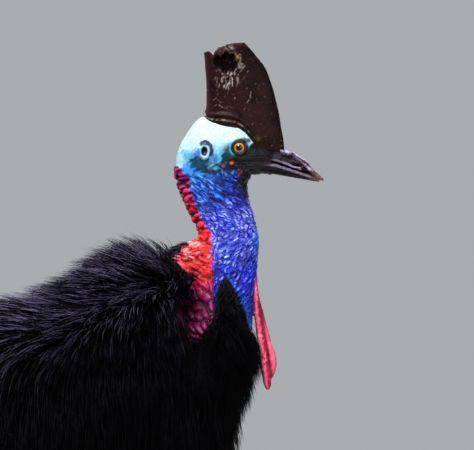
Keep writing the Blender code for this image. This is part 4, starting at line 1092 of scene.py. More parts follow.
    # red skin: purple, crimson, coral, plum lobes, with painted highlights on the tops of ridges, folds and lobes and
    # painted shade in the grooves between them
    edge = run_at(along(RED_EDGE, v))
    wave = 2.6 * grain(co, 95.0, 3.0)
    red = step_up(2.0, -1.8, run - edge + wave) * step_up(163.0, 167.0, v) * (v < 362)
    ridge, _ = lumps(run + 1.2 * grain(co, 150.0, 2.0), v + 0.25 * run + 2.0 * grain(co, 120.0), 15.0, 4.4, 0.9, 2)
    folds = fan_folds(co)
    lobes, label = lumps(run, v - 0.42 * run + 1.6 * grain(co, 60.0, 9.0), 16.0, 8.8, 0.75, 4)
    top = mix(np.tile(np.array(hues.nape_purple), (len(co), 1)), hues.nape_crimson, step_up(182.0, 200.0, v + 6 * soft))
    top = mix(top, hues.red, step_up(206.0, 222.0, v + 6 * soft))
    # painted highlight on the ridge tops, painted shade in their grooves
    top = mix(top, hues.nape_ridge_highlight, 0.55 * step_up(0.66, 0.95, ridge + 0.1 * fine))
    top = mix(top, hues.dark_red_shade, 0.92 * step_up(0.58, 0.20, ridge))
    # painted shade: darker red and dark red in the fold creases; painted highlight: pale pink on the fold tops
    coral = mix(np.tile(np.array(hues.coral), (len(co), 1)), hues.red, 0.90 * step_up(0.80, 0.50, folds))
    coral = mix(coral, hues.groove, 0.95 * step_up(0.56, 0.22, folds))
    coral = mix(coral, hues.coral_fold_highlight, 0.80 * step_up(0.74, 0.96, folds + 0.14 * fine)
                * step_up(268.0, 254.0, v + 3 * soft) * step_up(206.0, 190.0, u + 4 * soft))
    coral = mix(coral, hues.groove, 0.62 * step_up(260.0, 275.0, v + 4 * soft))
    plum = mix(np.tile(np.array(hues.plum), (len(co), 1)), hues.plum_light, 0.7 * label)
    plum = mix(plum, hues.nape_crimson, 0.85 * step_up(298.0, 280.0, v + 5 * soft))
    # painted highlight on the lobe tops, painted shade in their grooves
    plum = mix(plum, hues.plum_lobe_highlight, 0.40 * step_up(0.88, 1.0, lobes + 0.08 * fine))
    plum = mix(plum, hues.dark_red_shade, 0.97 * step_up(0.62, 0.26, lobes))
    back = step_up(10.0, 2.0, run - run_at(along(SHOULDER_EDGE, v))) * step_up(300.0, 312.0, v)
    plum = mix(plum, hues.red, 0.6 * back)
    band = mix(top, coral, step_up(226.0, 240.0, v + 3 * soft))
    band = mix(band, plum, step_up(272.0, 286.0, v + 3 * soft))
    out = mix(out, band, red)
    # wattles, with a painted highlight along the near one's ridge, painted shade on the far one and at their edges, and
    # the near one's painted shadow on the far one
    start = np.interp(v, (268, 285, 300, 315, 330), (256.4, 254.8, 253.8, 253.6, 254.6))
    strip = (step_up(-0.6, 0.8, u - start + 0.5 * fine) * step_up(270.0, 284.0, v + 4 * fine)
             * (np.abs(np.abs(co[:, 1]) - WATTLE_OUT) < 0.0115) * (v < 400))
    flesh = mix(np.tile(np.array(hues.wattle), (len(co), 1)), hues.wattle_deep_and_shade, 0.55 * step_up(-0.1, 0.6, fine))
    far_one = step_up(-0.002, 0.002, co[:, 1])
    # fewer pale patches on the far wattle: painted shade
    flesh = mix(flesh, hues.wattle_pale_and_highlight, (0.75 - 0.45 * far_one) * step_up(0.0, 0.6, -fine + 0.4 * soft))
    front = np.interp(v, [r[0] for r in NEAR_WATTLE], [r[2] for r in NEAR_WATTLE])
    back = np.interp(v, [r[0] for r in NEAR_WATTLE], [r[1] for r in NEAR_WATTLE])
    across = (u - back) / (front - back)
    near_one = 1 - far_one
    # painted highlight along the near wattle's ridge, painted shade towards its front edge, and its painted shadow on
    # the far wattle
    flesh = mix(flesh, hues.wattle_pale_and_highlight, 0.65 * near_one * hill(across - 0.36, 0.30))
    flesh = mix(flesh, hues.wattle_deep_and_shade, 0.85 * near_one * step_up(0.62, 0.95, across + 0.1 * fine))
    flesh = mix(flesh, hues.dark_red_shade, 0.75 * far_one * hill(u - front - 0.4, 2.0))
    flesh = mix(flesh, hues.wattle_pale_and_highlight, 0.45 * far_one * step_up(1.8, 3.6, u - front))
    # painted shade where the wattles turn away at their front and rear edges
    heart = np.abs(np.abs(co[:, 1]) - WATTLE_OUT)
    flesh = mix(flesh, hues.groove, 0.85 * step_up(0.0052, 0.0012, heart) * step_up(290.0, 310.0, v))
    out = mix(out, flesh, strip)
    # near-black skin under the coat: painted shade
    return mix(out, hues.under_coat_shade, is_covered(co))


def is_covered(co):
    """How far places of the skin lie under the coat, 0 to 1."""
    u, v = drawn(co)
    fine = grain(co, 260.0, 2.0)
    start = np.interp(v, (268, 285, 300, 315, 330), (256.4, 254.8, 253.8, 253.6, 254.6))
    strip = (step_up(-0.6, 0.8, u - start + 0.5 * fine) * step_up(270.0, 284.0, v + 4 * fine)
             * (np.abs(np.abs(co[:, 1]) - WATTLE_OUT) < 0.0115) * (v < 400))
    covered = step_up(352.0, 372.0, v) * (1 - strip)
    rear = np.where(v > 262.0, 1.0, -5.0)
    covered = np.maximum(covered, step_up(rear, rear - 3.0, u - along(SHOULDER_EDGE, v)) * step_up(246.0, 250.0, v))
    wedge = (step_up(-1.0, 0.6, u - along(WEDGE_EDGE, v) + 0.5 * fine)
             * step_up(0.5, -1.0, u - along(TONGUE_EDGE, v) + 0.5 * fine) * step_up(275.0, 277.0, v) * (1 - strip))
    return np.maximum(covered, wedge)


def make_skin(sizes, hues):
    """One skin over the head, neck, wattles, body and thighs."""
    front = remeshed("front", front_forms(), sizes.cell, 5)
    carve_front(front.data)
    body = remeshed("body", body_forms(), 0.009, 6)
    skin = combined(front, body, "UNION")
    for side in (-1, 1):
        centre = eye_centre(side)
        socket = ball("socket", centre, (EYE_RADIUS + 0.0002,) * 3, 0.0, 48, 32)
        skin = combined(skin, socket, "DIFFERENCE")
    co, _ = corners(skin.data)
    corner_colours(skin.data, "hue", skin_colours(co, hues))
    lean, fall = neck_lay(co)
    _, v = drawn(co)
    stretch = np.interp(v, (160.0, 205.0, 230.0, 330.0), (9.5, 9.0, 4.6, 4.2))
    narrow = np.interp(v, (160.0, 205.0, 230.0, 330.0), (3.0, 3.1, 3.9, 3.8))
    run, _, run_at = round_neck(co)
    reach, turn = fan_lay(co)
    red = (run < run_at(along(RED_EDGE, v))) & (v > 165.0)
    lay = np.stack([np.where(red, turn / 3.4, lean / narrow), np.where(red, reach / 9.0, fall / stretch), 0 * v], 1)
    corner_vectors(skin.data, "lay", lay)
    corner_values(skin.data, "tooth", skin_tooth(co))
    corner_values(skin.data, "covered", is_covered(co))
    u, v = drawn(co)
    bare = (is_covered(co) < 0.2) & (v < 345) & (np.hypot(u - EYE_AT[0], v - EYE_AT[1]) > 11) & (u < 268) & (v > 170)
    corner_values(skin.data, "bristle", bare * step_up(165.0, 185.0, v) * step_up(207.0, 214.0, u))
    return skin


def skin_finish(bumps):
    """Bare skin: stored hues, fine creases along the stored lay with painted shade in them, and painted glints on their
    tops.
    """
    made = Finish("bare_skin", 0.5, Specular_IOR_Level=0.19, Subsurface_Weight=0.03, Subsurface_Scale=0.003)
    hue = made.attribute("hue")
    tooth = made.attribute("tooth", "Fac")
    covered = made.attribute("covered", "Fac")
    lay = made.attribute("lay", "Vector")
    seam = made.cells(1.0, "DISTANCE_TO_EDGE", lay)
    heart = made.cells(1.0, "F1", lay)
    fine = made.noise(520.0, 6.0, 0.68)
    broad = made.noise(150.0, 3.0)
    crease = made.ramp(seam, (0.0, 0.0), (0.08, 0.24), (0.23, 1.0))
    # painted shade: the hue is darkened in the fine creases and lightened a little on their tops
    dark = made.blend(1.0, made.ramp(crease, (0.0, (0.07, 0.09, 0.22)), (1.0, (1.14, 1.16, 1.18))),
                      made.ramp(fine, (0.36, 0.55), (0.60, 1.10)), "MULTIPLY")
    toned = made.blend(1.0, hue, dark, "MULTIPLY")
    # painted glints: the hue is lightened near the middle of each cell
    glint = made.ramp(heart, (0.0, 1.0), (0.36, 0.0))
    toned = made.blend(glint, toned, made.blend(1.0, made.blend(1.0, hue, (2.0, 1.8, 1.2), "MULTIPLY"),
                                                (0.15, 0.16, 0.22), "ADD"))
    mottle = made.ramp(made.noise(380.0, 5.0, 0.7), (0.36, (0.62, 0.78, 0.84)), (0.58, (1.03, 1.03, 1.03)))
    made.colour(made.blend(tooth, made.blend(1.0, hue, mottle, "MULTIPLY"), toned))
    grit = made.blend(tooth, made.ramp(fine, (0.3, 0.42), (0.7, 0.58)), made.ramp(fine, (0.3, 0.0), (0.7, 1.0)))
    lines = made.blend(tooth, (0.5, 0.5, 0.5), crease)
    made.bump(made.sum((lines, 1.0), (grit, 0.35), (broad, 0.2)), bumps, 0.0020)
    shine = made.ramp(fine, (0.35, 0.20), (0.65, 0.52))
    made.join(made.blend(covered, shine, (1.0, 1.0, 1.0)), made.shader.inputs["Roughness"])
    return made.made


# Casque and bill


def carve_casque(mesh):
    """Worn relief of the casque: hollow, scratches, hem folds, broad dents."""
    co, normal = corners(mesh)
    u, v = drawn(co)
    soft = grain(co, 45.0, 3.0)
    fine = grain(co, 240.0, 4.0)
    near = step_up(-0.001, -0.005, co[:, 1])
    ragged = streaked(u * 0.22, v * 0.12, 2.0)
    hollow = np.hypot((u - HOLLOW_AT[0]) / 12.5, (v - HOLLOW_AT[1]) / 10.0) + 0.16 * fine + 0.22 * soft + 0.45 * ragged
    lift = 0.0007 * soft + 0.00012 * fine
    lift -= near * 0.0075 * step_up(1.02, 0.45, hollow)
    lift += near * 0.0006 * hill(hollow - 1.14, 0.22) * step_up(0.0, 0.5, fine)
    lines = near_lines(u, v, SCRATCHES)
    lift -= near * 0.0005 * hill(lines + 0.9 * fine, 1.1)
    edge = v - np.interp(u, [p[0] for p in HEM], [p[1] for p in HEM])
    behind = step_up(257.0, 249.0, u)
    hem = 0.0015 * hill(edge + 6.2, 3.0) - 0.0014 * hill(edge + 2.4, 1.9) + 0.0016 * hill(edge - 0.6, 2.8)
    lift += behind * hem
    rim = step_up(4.0, 0.0, v - np.interp(u, [204, 209, 213.5, 219, 225, 230, 243, 250],
                                          [53, 51, 54.5, 47, 45.5, 43.5, 42.8, 47]))
    lift += 0.0006 * rim
    co += normal * lift[:, None]
    top = np.interp(u, (203.0, 206.5, 209.0, 211.5, 213.6, 215.0, 219.0, 222.0, 225.0, 228.0, 232.0, 243.0),
                    (53.2, 51.8, 50.6, 52.4, 55.2, 51.2, 46.8, 46.2, 45.2, 43.6, 43.0, 42.4))
    co[:, 2] = np.minimum(co[:, 2], sz(top + 0.25 * np.abs(co[:, 1]) / STEP * 0.2))
    crack = hill((u - 213.8) - 0.25 * (v - 54.0), 1.9) * step_up(66.0, 54.0, v)
    co[:, 1] *= 1 - 0.22 * crack
    put_corners(mesh, co)
    return hollow, near, lines, edge, rim


def casque_colours(co, normal, worn, hues):
    """Colour of each corner of the casque."""
    hollow, near, lines, edge, rim = worn
    u, v = drawn(co)
    soft = grain(co, 60.0, 5.0)
    fine = grain(co, 300.0, 6.0)
    tiny = grain(co, 900.0, 7.0)
    out = mix(np.tile(np.array(hues.horn_brown), (len(co), 1)), hues.horn_dark, 0.85 * step_up(-0.1, 0.6, soft))
    out = mix(out, hues.horn_dark, 0.80 * step_up(232.0, 244.0, u + 3 * soft) * step_up(92.0, 66.0, v))
    low = step_up(96.0, 126.0, v + 6 * soft)
    out = mix(out, hues.horn_olive, 0.7 * low * step_up(-0.4, 0.5, fine))
    spot = hill(np.hypot(u - 258.4, v - 138.4), 3.6)
    out = mix(out, hues.horn_yellow, 0.45 * spot)
    # the front, picked by which way it faces, goes near black: the keel's own dark horn and painted shade
    front = step_up(0.30, 0.62, normal[:, 0] + 0.1 * soft)
    out = mix(out, hues.horn_black_and_shade, 0.92 * front)
    # pale pink along the top rim: painted highlight
    out = mix(out, hues.horn_pink_and_highlight, 0.75 * rim * step_up(-0.6, 0.2, fine))
    back = step_up(-0.55, -0.9, normal[:, 0])
    out = mix(out, hues.horn_pink_and_highlight, 0.35 * back)
    # near black in the hollow: painted shade
    out = mix(out, hues.horn_hollow_shade, near * step_up(1.05, 0.80, hollow))
    rind = near * hill(hollow - 1.12, 0.15) * step_up(-0.3, 0.3, fine) * step_up(-6.0, 6.0, (u - 227) + (v - 62) * 0.8)
    out = mix(out, hues.horn_chips_and_glare, 0.40 * rind)
    drip = step_up(0.16, 0.42, streaked(u * 0.62 + 0.1 * v, v * 0.13, 6.0) + 0.35 * fine)
    zone = hill(np.hypot((u - 227.0) / 1.25, v - 80.0), 12.5) * step_up(69.0, 73.0, v)
    out = mix(out, hues.horn_chips_and_glare, 0.62 * near * drip * step_up(0.0, 0.45, zone))
    ochre = near * hill(np.hypot((u - 237.5) / 0.9, (v - 58) / 1.3) + 1.5 * fine, 3.6)
    out = mix(out, hues.horn_ochre, 0.6 * ochre)
    chips = near * step_up(0.22, 0.5, fine + 0.3 * tiny) * hill(np.hypot((u - 230) / 1.1, (v - 76)), 5.0)
    out = mix(out, hues.horn_chips_and_glare, 0.8 * chips)
    out = mix(out, hues.horn_chips_and_glare, 0.40 * near * hill(lines + 0.8 * fine, 0.7) * step_up(-0.1, 0.35, soft + fine))
    out = mix(out, hues.horn_chips_and_glare, 0.34 * step_up(0.50, 0.72, tiny) * step_up(0.0, 0.4, fine))
    behind = step_up(257.0, 249.0, u)
    out = mix(out, hues.horn_black_and_shade, 0.8 * behind * hill(edge + 2.6, 2.0))
    out = mix(out, hues.horn_chips_and_glare, 0.55 * behind * hill(edge + 0.7, 0.9) * step_up(-0.15, 0.35, fine))
    # pale glare on the rim's top: painted highlight
    shine = hill(np.hypot((u - 230.0) / 2.2, v - 48.0), 3.4) * (np.abs(co[:, 1]) > 0.004)
    out = mix(out, hues.horn_chips_and_glare, 0.42 * shine * step_up(-0.5, 0.3, fine))
    out = mix(out, hues.horn_pink_and_highlight, 0.25 * behind * hill(edge + 6.2, 1.6))
    return out


def make_casque(sizes, hues):
    """Tall horn casque, broken open on its right side."""
    shell = remeshed("casque_shell", [loft("shell", level_rings(CASQUE, 0.8, 120, CASQUE_NOSE))], 0.00120, 3)
    worn = carve_casque(shell.data)
    co, normal = corners(shell.data)
    corner_colours(shell.data, "hue", casque_colours(co, normal, worn, hues))
    corner_values(shell.data, "dull", worn[1] * step_up(1.15, 0.90, worn[0]))
    return shell


def horn_finish(name, rough, sheen, specks):
    """Polished horn: stored hues, fine specks, faint relief from noise."""
    made = Finish(name, rough, Specular_IOR_Level=sheen, Specular_Tint=(1.0, 0.80, 0.86, 1.0))
    hue = made.attribute("hue")
    broad = made.noise(70.0, 4.0)
    tiny = made.noise(560.0, 3.0, 0.6)
    grit = made.noise(420.0, 5.0, 0.65)
    mottled = made.blend(made.ramp(grit, (0.38, 0.0), (0.66, 0.55)), hue, (0.0, 0.0, 0.0))
    pale = made.blend(made.ramp(tiny, (0.71, 0.0), (0.77, specks)), mottled, (0.62, 0.56, 0.52))
    made.colour(pale)
    height = made.sum((grit, 0.6), (broad, 0.5), (tiny, 0.15))
    made.bump(height, 0.22, 0.0008)
    shine = made.ramp(grit, (0.3, rough - 0.08), (0.7, rough + 0.14))
    made.join(made.blend(made.attribute("dull", "Fac"), shine, (1.0, 1.0, 1.0)), made.shader.inputs["Roughness"])
    return made.made


def bill_rings(table):
    """Dense upright rings of half a bill."""
    return upright_rings(side_sections(table, 0.6), 2.1, 96)


def carve_bill(mesh, upper):
    """Plates, grooves and nostrils of a half of the bill."""
    co, normal = corners(mesh)
    u, v = drawn(co)
    lift = 0.00022 * grain(co, 260.0, 2.0)
    flank = step_up(0.15, 0.5, np.abs(normal[:, 1]))
    if upper:
        groove = near_lines(u, v, [((266, 147.5), (276, 150.5), (286, 153.5), (296, 156.5), (304, 161), (312, 168))])
        lift -= flank * 0.0013 * hill(groove, 1.7)
        plate = near_lines(u, v, [((270, 156), (280, 158.5), (290, 160.5), (299, 162.5))])
        lift += flank * 0.0009 * hill(plate, 5.0)
        slot = np.hypot((u - 296.8) / 5.6, (v - 165.2 - 0.10 * (u - 296.8)) / 1.5)
        lift -= flank * 0.0034 * step_up(1.15, 0.4, slot)
        lift += flank * 0.0006 * hill(slot - 1.6, 0.5)
        edge = near_lines(u, v, [((262, 161), (275, 162), (284, 165.6), (292, 168), (300, 170.6), (310, 174.6))])
        lift += flank * 0.0003 * hill(edge - 1.2, 1.3)
    else:
        edge = near_lines(u, v, [((262, 165), (275, 166), (284, 169), (292, 171.3), (300, 173.8), (310, 177.5))])
        lift += flank * 0.0006 * hill(edge, 1.4)
        groove = near_lines(u, v, [((266, 169), (280, 171.5), (292, 174.2), (304, 177.6))])
        lift -= flank * 0.0007 * hill(groove, 1.2)
    co += normal * lift[:, None]
    put_corners(mesh, co)


def bill_colours(co, normal, upper, hues):
    """Colour of each corner of a half of the bill."""
    u, v = drawn(co)
    soft = grain(co, 110.0, 8.0)
    fine = grain(co, 420.0, 9.0)
    out = np.tile(np.array(hues.bill_black), (len(co), 1))
    flank = step_up(0.1, 0.6, np.abs(normal[:, 1]))
    if upper:
        # lavender along the culmen: painted highlight
        culmen = near_lines(u, v, [((284, 150.5), (292, 152.8), (299, 156), (306, 161.6), (312, 168))])
        out = mix(out, hues.bill_lavender_sheen, 0.92 * step_up(4.4, 2.2, culmen + fine) * step_up(-0.5, 0.1, soft + 0.5 * fine))
        plate = near_lines(u, v, [((276, 155.5), (284, 157.5), (292, 159.6), (299, 162))])
        out = mix(out, hues.bill_slate, 0.90 * flank * step_up(4.6, 2.4, plate + fine) * step_up(-0.5, 0.3, soft))
        # lavender along the edge ridge: painted highlight
        ridge = near_lines(u, v, [((268, 159.6), (276, 160.2), (284, 162.8), (292, 165.8), (300, 168.6))])
        out = mix(out, hues.bill_lavender_sheen, 0.60 * flank * step_up(1.5, 0.6, ridge + 0.6 * fine))
        groove = near_lines(u, v, [((266, 147.5), (276, 150.5), (286, 153.5), (296, 156.5), (304, 161), (312, 168))])
        out = mix(out, hues.bill_black, 0.85 * flank * hill(groove - 0.4, 1.0))
        # near black in the nostril slot: painted shade
        slot = np.hypot((u - 296.8) / 5.6, (v - 165.2 - 0.10 * (u - 296.8)) / 1.5)
        out = mix(out, (0.002, 0.002, 0.002), flank * step_up(1.1, 0.8, slot))
        speck = hill(np.hypot((u - 300) / 1.6, v - 169.6), 1.3)
        out = mix(out, hues.gape, 0.7 * flank * speck)
        out = mix(out, hues.bill_tip, 0.75 * step_up(309.0, 319.0, u + 2 * soft))
    else:
        # lavender along the lower bill's ridge: painted highlight
        ridge = near_lines(u, v, [((262, 164.6), (275, 165.2), (284, 168.0), (292, 170.6), (300, 173.2), (310, 177.0))])
        out = mix(out, hues.bill_lavender_sheen, 0.30 * flank * step_up(1.6, 0.7, ridge + 0.6 * fine))
        band = near_lines(u, v, [((272, 168), (284, 171.0), (296, 174.6), (306, 178))])
        out = mix(out, hues.bill_slate, 0.25 * flank * hill(band, 3.0) * step_up(-0.4, 0.4, soft))
        out = mix(out, hues.bill_tip, 0.6 * step_up(304.0, 315.0, u + 2 * soft))
    return mix(out, hues.bill_black, 0.8 * step_up(274.0, 266.0, u))


def make_bill(table, upper, hues):
    """One half of the bill."""
    half = loft("half", bill_rings(table))
    carve_bill(half.data, upper)
    co, normal = corners(half.data)
    corner_colours(half.data, "hue", bill_colours(co, normal, upper, hues))
    return half


# Eyes


def make_eye(side):
    """Eyeball with a raised clear front."""
    centre = eye_centre(side)
    eye = ball("eye", (0.0, 0.0, 0.0), (EYE_RADIUS,) * 3, 0.0, 64, 48)
    eye.data.transform(Matrix.Rotation(math.radians(90), 4, "X"))
    co, _ = corners(eye.data)
    across = np.hypot(co[:, 0], co[:, 2])
    bulge = hill(across, 0.0096) * (co[:, 1] * side > 0)
    co[:, 1] += side * 0.0011 * bulge
    put_corners(eye.data, co + np.array(centre))
    turn_outward(eye.data)
    return eye


def eye_finish(sizes, hues):
    """Glassy eye: pupil, orange iris with streaks, dark rim."""
    made = Finish("glassy_eye", 0.06, Specular_IOR_Level=0.35)
    spot = made.add("ShaderNodeVectorMath", operation="SUBTRACT")
    made.join(made.where(), spot.inputs[0])
    centre = eye_centre(1)
    spot.inputs[1].default_value = (centre[0], 0.0, centre[2])
    flat = made.add("ShaderNodeVectorMath", operation="MULTIPLY")
    made.join(spot.outputs[0], flat.inputs[0])
    flat.inputs[1].default_value = (1.0, 0.0, 1.0)
    far = made.add("ShaderNodeVectorMath", operation="LENGTH")
    made.join(flat.outputs[0], far.inputs[0])
    share = made.add("ShaderNodeMath", operation="DIVIDE")
    made.join(far.outputs["Value"], share.inputs[0])
    share.inputs[1].default_value = sizes.iris
    streaks = made.noise(900.0, 4.0, 0.6)
    warped = made.sum((share.outputs[0], 1.0), (streaks, 0.05))
    pupil = sizes.pupil / sizes.iris
    rings = made.ramp(
        warped, (0.0, (0.002, 0.002, 0.003)), (pupil, (0.003, 0.002, 0.002)),
        (pupil + 0.05, tuple(hues.iris_dark)), (pupil + 0.22, tuple(hues.iris)), (0.86, tuple(hues.iris)),
        (0.96, tuple(hues.iris_dark)), (1.0, (0.006, 0.005, 0.006)))
    made.colour(rings)
    return made.made


# Wings, legs and claws


def make_wing(side):
    """Small wing stump with bare bowed quills."""
    x, y, z = WING_AT
    root = Vector((x, side * y, z))
    lean = math.radians(WING_LEAN)
    long = Vector((math.cos(lean), 0.0, math.sin(lean)))
    parts = [ball("stump", root, WING_SIZE, -WING_LEAN, 32, 20)]
    for number, (length, turn) in enumerate(QUILLS):
        start = root + long * (0.024 - 0.012 * number) + Vector((0.0, side * 0.008, 0.0))
        points = []
        radii = []
        for share in np.linspace(0.0, 1.0, 28):
            angle = math.radians(turn + 16 * (1 - share))
            run = length * share
            out = QUILL_BOW * math.sin(math.pi * share ** 0.62)
            points.append(start + Vector((-run * math.sin(angle), side * out, -run * math.cos(angle))))
            collar = 0.0007 * hill(np.array(share - 0.05), 0.03)
            radii.append(QUILL_RADIUS * (1 - 0.78 * share ** 1.3) + float(collar))
        parts.append(tube("quill", points, radii, 14))
    wing = remeshed("wing", parts, 0.00145, 2)
    co, normal = corners(wing.data)
    stump = hill(np.linalg.norm((co - np.array(root)) / np.array(WING_SIZE), axis=1), 1.3)
    put_corners(wing.data, co + normal * (stump * 0.0008 * grain(co, 300.0))[:, None])
    return wing


def toe_way(kind, side):
    """Start, direction and sideways direction of a toe."""
    x, aside, turn = TOES[kind]
    angle = math.radians(-turn * side)
    start = np.array((x, side * (LEG_Y - aside), 0.0))
    return start, np.array((math.cos(angle), math.sin(angle), 0.0)), np.array((-math.sin(angle), math.cos(angle), 0.0))


def toe_rings(kind, side):
    """Rings along a toe on a flat sole."""
    start, way, across = toe_way(kind, side)
    angle = 2 * math.pi * (np.arange(36) + 0.5)[:, None] / 36
    rings = []
    for run, half, height in smooth(TOE_SHAPES[kind], dense(TOE_SHAPES[kind], 0.004)):
        z = 0.44 * height + 0.56 * height * np.cos(angle)
        ring = start + way * run + across * half * np.sin(angle) + np.array((0.0, 0.0, 1.0)) * np.maximum(z, 0.0)
        rings.append(ring)
    return rings


def carve_leg(mesh, side):
    """Broad scutes down the front of the shank and over the toes, small scales elsewhere."""
    co, normal = corners(mesh)
    keys = np.linspace(0.0, 8.0, 161)
    rows = smooth(TARSUS, keys)
    run = np.concatenate([[0.0], np.cumsum(np.hypot(np.diff(rows[:, 1]), np.diff(rows[:, 2])))])
    axis_x = np.interp(-co[:, 2], -rows[:, 2], rows[:, 1])
    along_leg = np.interp(-co[:, 2], -rows[:, 2], run)
    angle = np.arctan2((co[:, 1] - side * LEG_Y), (co[:, 0] - axis_x))
    shank = step_up(0.040, 0.056, co[:, 2])
    front = step_up(1.05, 0.75, np.abs(angle))
    wave = 0.0010 * grain(co, 55.0, 1.0)
    beat = (along_leg + wave + 0.0035 * np.cos(angle)) / 0.0128
    step = beat - np.floor(beat)
    plate = step_up(0.0, 0.16, step) * (1 - 0.45 * step)
    lift = shank * front * 0.0021 * (plate - 0.45)
    spots = (along_leg * 1000, angle * 22.0)
    scales, _ = lumps(spots[1], spots[0], 5.4, 4.6, 0.45, 8)
    lift += shank * (1 - front) * 0.0010 * (scales - 0.5)
    edge = hill(np.abs(angle) - 0.93, 0.07)
    lift -= shank * 0.0008 * edge
    low = 1 - shank
    for kind in TOES:
        start, way, across = toe_way(kind, side)
        spot = co - start
        far = spot @ way
        aside = spot @ across
        width = np.interp(far, [r[0] for r in TOE_SHAPES[kind]], [r[1] for r in TOE_SHAPES[kind]])
        mine = (far > 0.020) * step_up(1.25, 0.95, np.abs(aside) / width)
        top = step_up(0.12, 0.55, normal[:, 2])
        beat = (far + 0.0007 * grain(co, 70.0, 2.0)) / 0.0094
        step = beat - np.floor(beat)
        plate = step_up(0.0, 0.18, step) * (1 - 0.4 * step)
        lift += low * mine * top * 0.0017 * (plate - 0.45)
        sides = mine * step_up(0.45, 0.05, normal[:, 2]) * (co[:, 2] > 0.003)
        small, _ = lumps(far * 1000, co[:, 2] * 1000, 4.2, 3.6, 0.6, 9)
        lift += low * sides * 0.0008 * (small - 0.5)
    lift *= step_up(0.0006, 0.0030, co[:, 2])
    co += normal * lift[:, None]
    co[:, 2] = np.maximum(co[:, 2], 0.0)
    put_corners(mesh, co)
    return front * shank, scales


def make_leg(side, hues):
    """Scaled shank and three toes."""
    parts = [loft("shank", limb_rings(TARSUS, side, np.linspace(-0.3, 8.0, 90), 48))]
    parts += [loft(kind, toe_rings(kind, side)) for kind in TOES]
    leg = remeshed("leg", parts, 0.0021, 4)
    front, _ = carve_leg(leg.data, side)
    co, normal = corners(leg.data)
    soft = grain(co, 30.0, 3.0)
    fine = grain(co, 220.0, 4.0)
    out = mix(np.tile(np.array(hues.leg_grey), (len(co), 1)), hues.leg_brown, 0.8 * step_up(-0.3, 0.5, soft))
    out = mix(out, hues.leg_pale, 0.45 * front * step_up(-0.2, 0.5, fine))
    out = mix(out, hues.leg_dark, 0.7 * step_up(0.36, 0.43, co[:, 2]))
    out = mix(out, hues.leg_dark, 0.6 * step_up(0.012, 0.002, co[:, 2]))
    corner_colours(leg.data, "hue", out)
    return leg


def leg_finish():
    """Dry scales: fine cells with dark seams, paler and darker specks."""
    made = Finish("leg_scales", 0.55, Specular_IOR_Level=0.45)
    hue = made.attribute("hue")
    seam = made.cells(330.0, "DISTANCE_TO_EDGE")
    fine = made.noise(700.0, 4.0, 0.6)
    dark = made.ramp(seam, (0.0, 0.25), (0.14, 1.0))
    toned = made.blend(0.75, hue, made.blend(1.0, hue, dark, "MULTIPLY"))
    speck = made.ramp(fine, (0.35, 0.62), (0.65, 1.12))
    made.colour(made.blend(1.0, toned, speck, "MULTIPLY"))
    height = made.sum((made.ramp(seam, (0.0, 0.0), (0.2, 1.0)), 0.7), (fine, 0.3))
    made.bump(height, 0.55, 0.0010)
    made.roughness(fine, 0.42, 0.7)
    return made.made


def make_claw(kind, side):
    """Long tapered claw with a flat underside."""
    start, way, across = toe_way(kind, side)
    length, half, rise, bow = CLAWS[kind]
    end = TOE_SHAPES[kind][-1]
    root = start + way * (end[0] + 0.0003)
    middle = end[2] * 0.50
    up = np.array((0.0, 0.0, 1.0))
    angle = 2 * math.pi * np.arange(28)[:, None] / 28
    rings = []
    for share in np.linspace(0.0, 1.0, 44):
        taper = (1 - share) ** 0.75 * 0.94 + 0.06
        low = middle * (1 - share) ** 1.3 + bow * math.sin(math.pi * share) + 0.0012
        centre = root + way * length * share + up * max(low, rise * taper + 0.0002)
        ripple = 1 + 0.018 * math.sin(share * 95) * (1 - share)
        rise_now = np.cos(angle) * rise * taper * ripple
        rise_now = np.where(rise_now < 0, rise_now * 0.86, rise_now)
        ring = centre + across * half * taper * ripple * signed_power(np.sin(angle), 2.25) + up * rise_now
        rings.append(ring)
    return loft("claw", rings)


def claw_finish():
    """Dark horn with streaks along it."""
    made = Finish("claw_horn", 0.38, Specular_IOR_Level=0.55, Coat_Weight=0.25, Coat_Roughness=0.3)
    streak = made.noise(1.0, 4.0, 0.6, made.stretched((90.0, 420.0, 420.0)))
    fine = made.noise(800.0, 4.0)
    made.colour(made.ramp(streak, (0.30, (0.012, 0.010, 0.009)), (0.55, (0.040, 0.033, 0.027)),
                          (0.75, (0.110, 0.090, 0.070))))
    made.bump(made.sum((streak, 0.7), (fine, 0.3)), 0.4, 0.0008)
    made.roughness(fine, 0.28, 0.55)
    return made.made


# Coat


class Lie:
    """Surface that feathers follow."""

    def __init__(self, parts, size, soften=8):
        made = remeshed("lie", parts, size, soften)
        self.mesh = made.data
        self.co, self.normal = corners(self.mesh)
        faces = [tuple(face.vertices) for face in self.mesh.polygons]
        self.tree = BVHTree.FromPolygons(self.co.tolist(), faces)
        self.mesh.calc_loop_triangles()
        tri = np.empty(len(self.mesh.loop_triangles) * 3, np.int32)
        self.mesh.loop_triangles.foreach_get("vertices", tri)
        self.tri = tri.reshape(-1, 3)
        bpy.data.objects.remove(made)

    def nearest(self, places):
        """Nearest places on the surface and the outward directions there."""
        spots = np.empty_like(places)
        normals = np.empty_like(places)
        for i, place_now in enumerate(places.tolist()):
            spot, normal, _, _ = self.tree.find_nearest(place_now)
            spots[i] = spot
            normals[i] = normal
        return spots, normals

    def roots(self, count, dice, weight):
        """Places spread over the surface, denser where weight is higher."""
        a, b, c = (self.co[self.tri[:, k]] for k in range(3))
        area = np.linalg.norm(np.cross(b - a, c - a), axis=1) * weight((a + b + c) / 3)
        total = np.cumsum(area)
        picks = np.searchsorted(total, (np.arange(count) + dice.random(count)) / count * total[-1])
        picks = np.minimum(picks, len(area) - 1)
        r = np.sqrt(dice.random(count))[:, None]
        s = dice.random(count)[:, None]
        places = (1 - r) * a[picks] + r * (1 - s) * b[picks] + r * s * c[picks]
        normals = self.normal[self.tri[picks]].mean(axis=1)
        return places, normals / np.linalg.norm(normals, axis=1)[:, None]


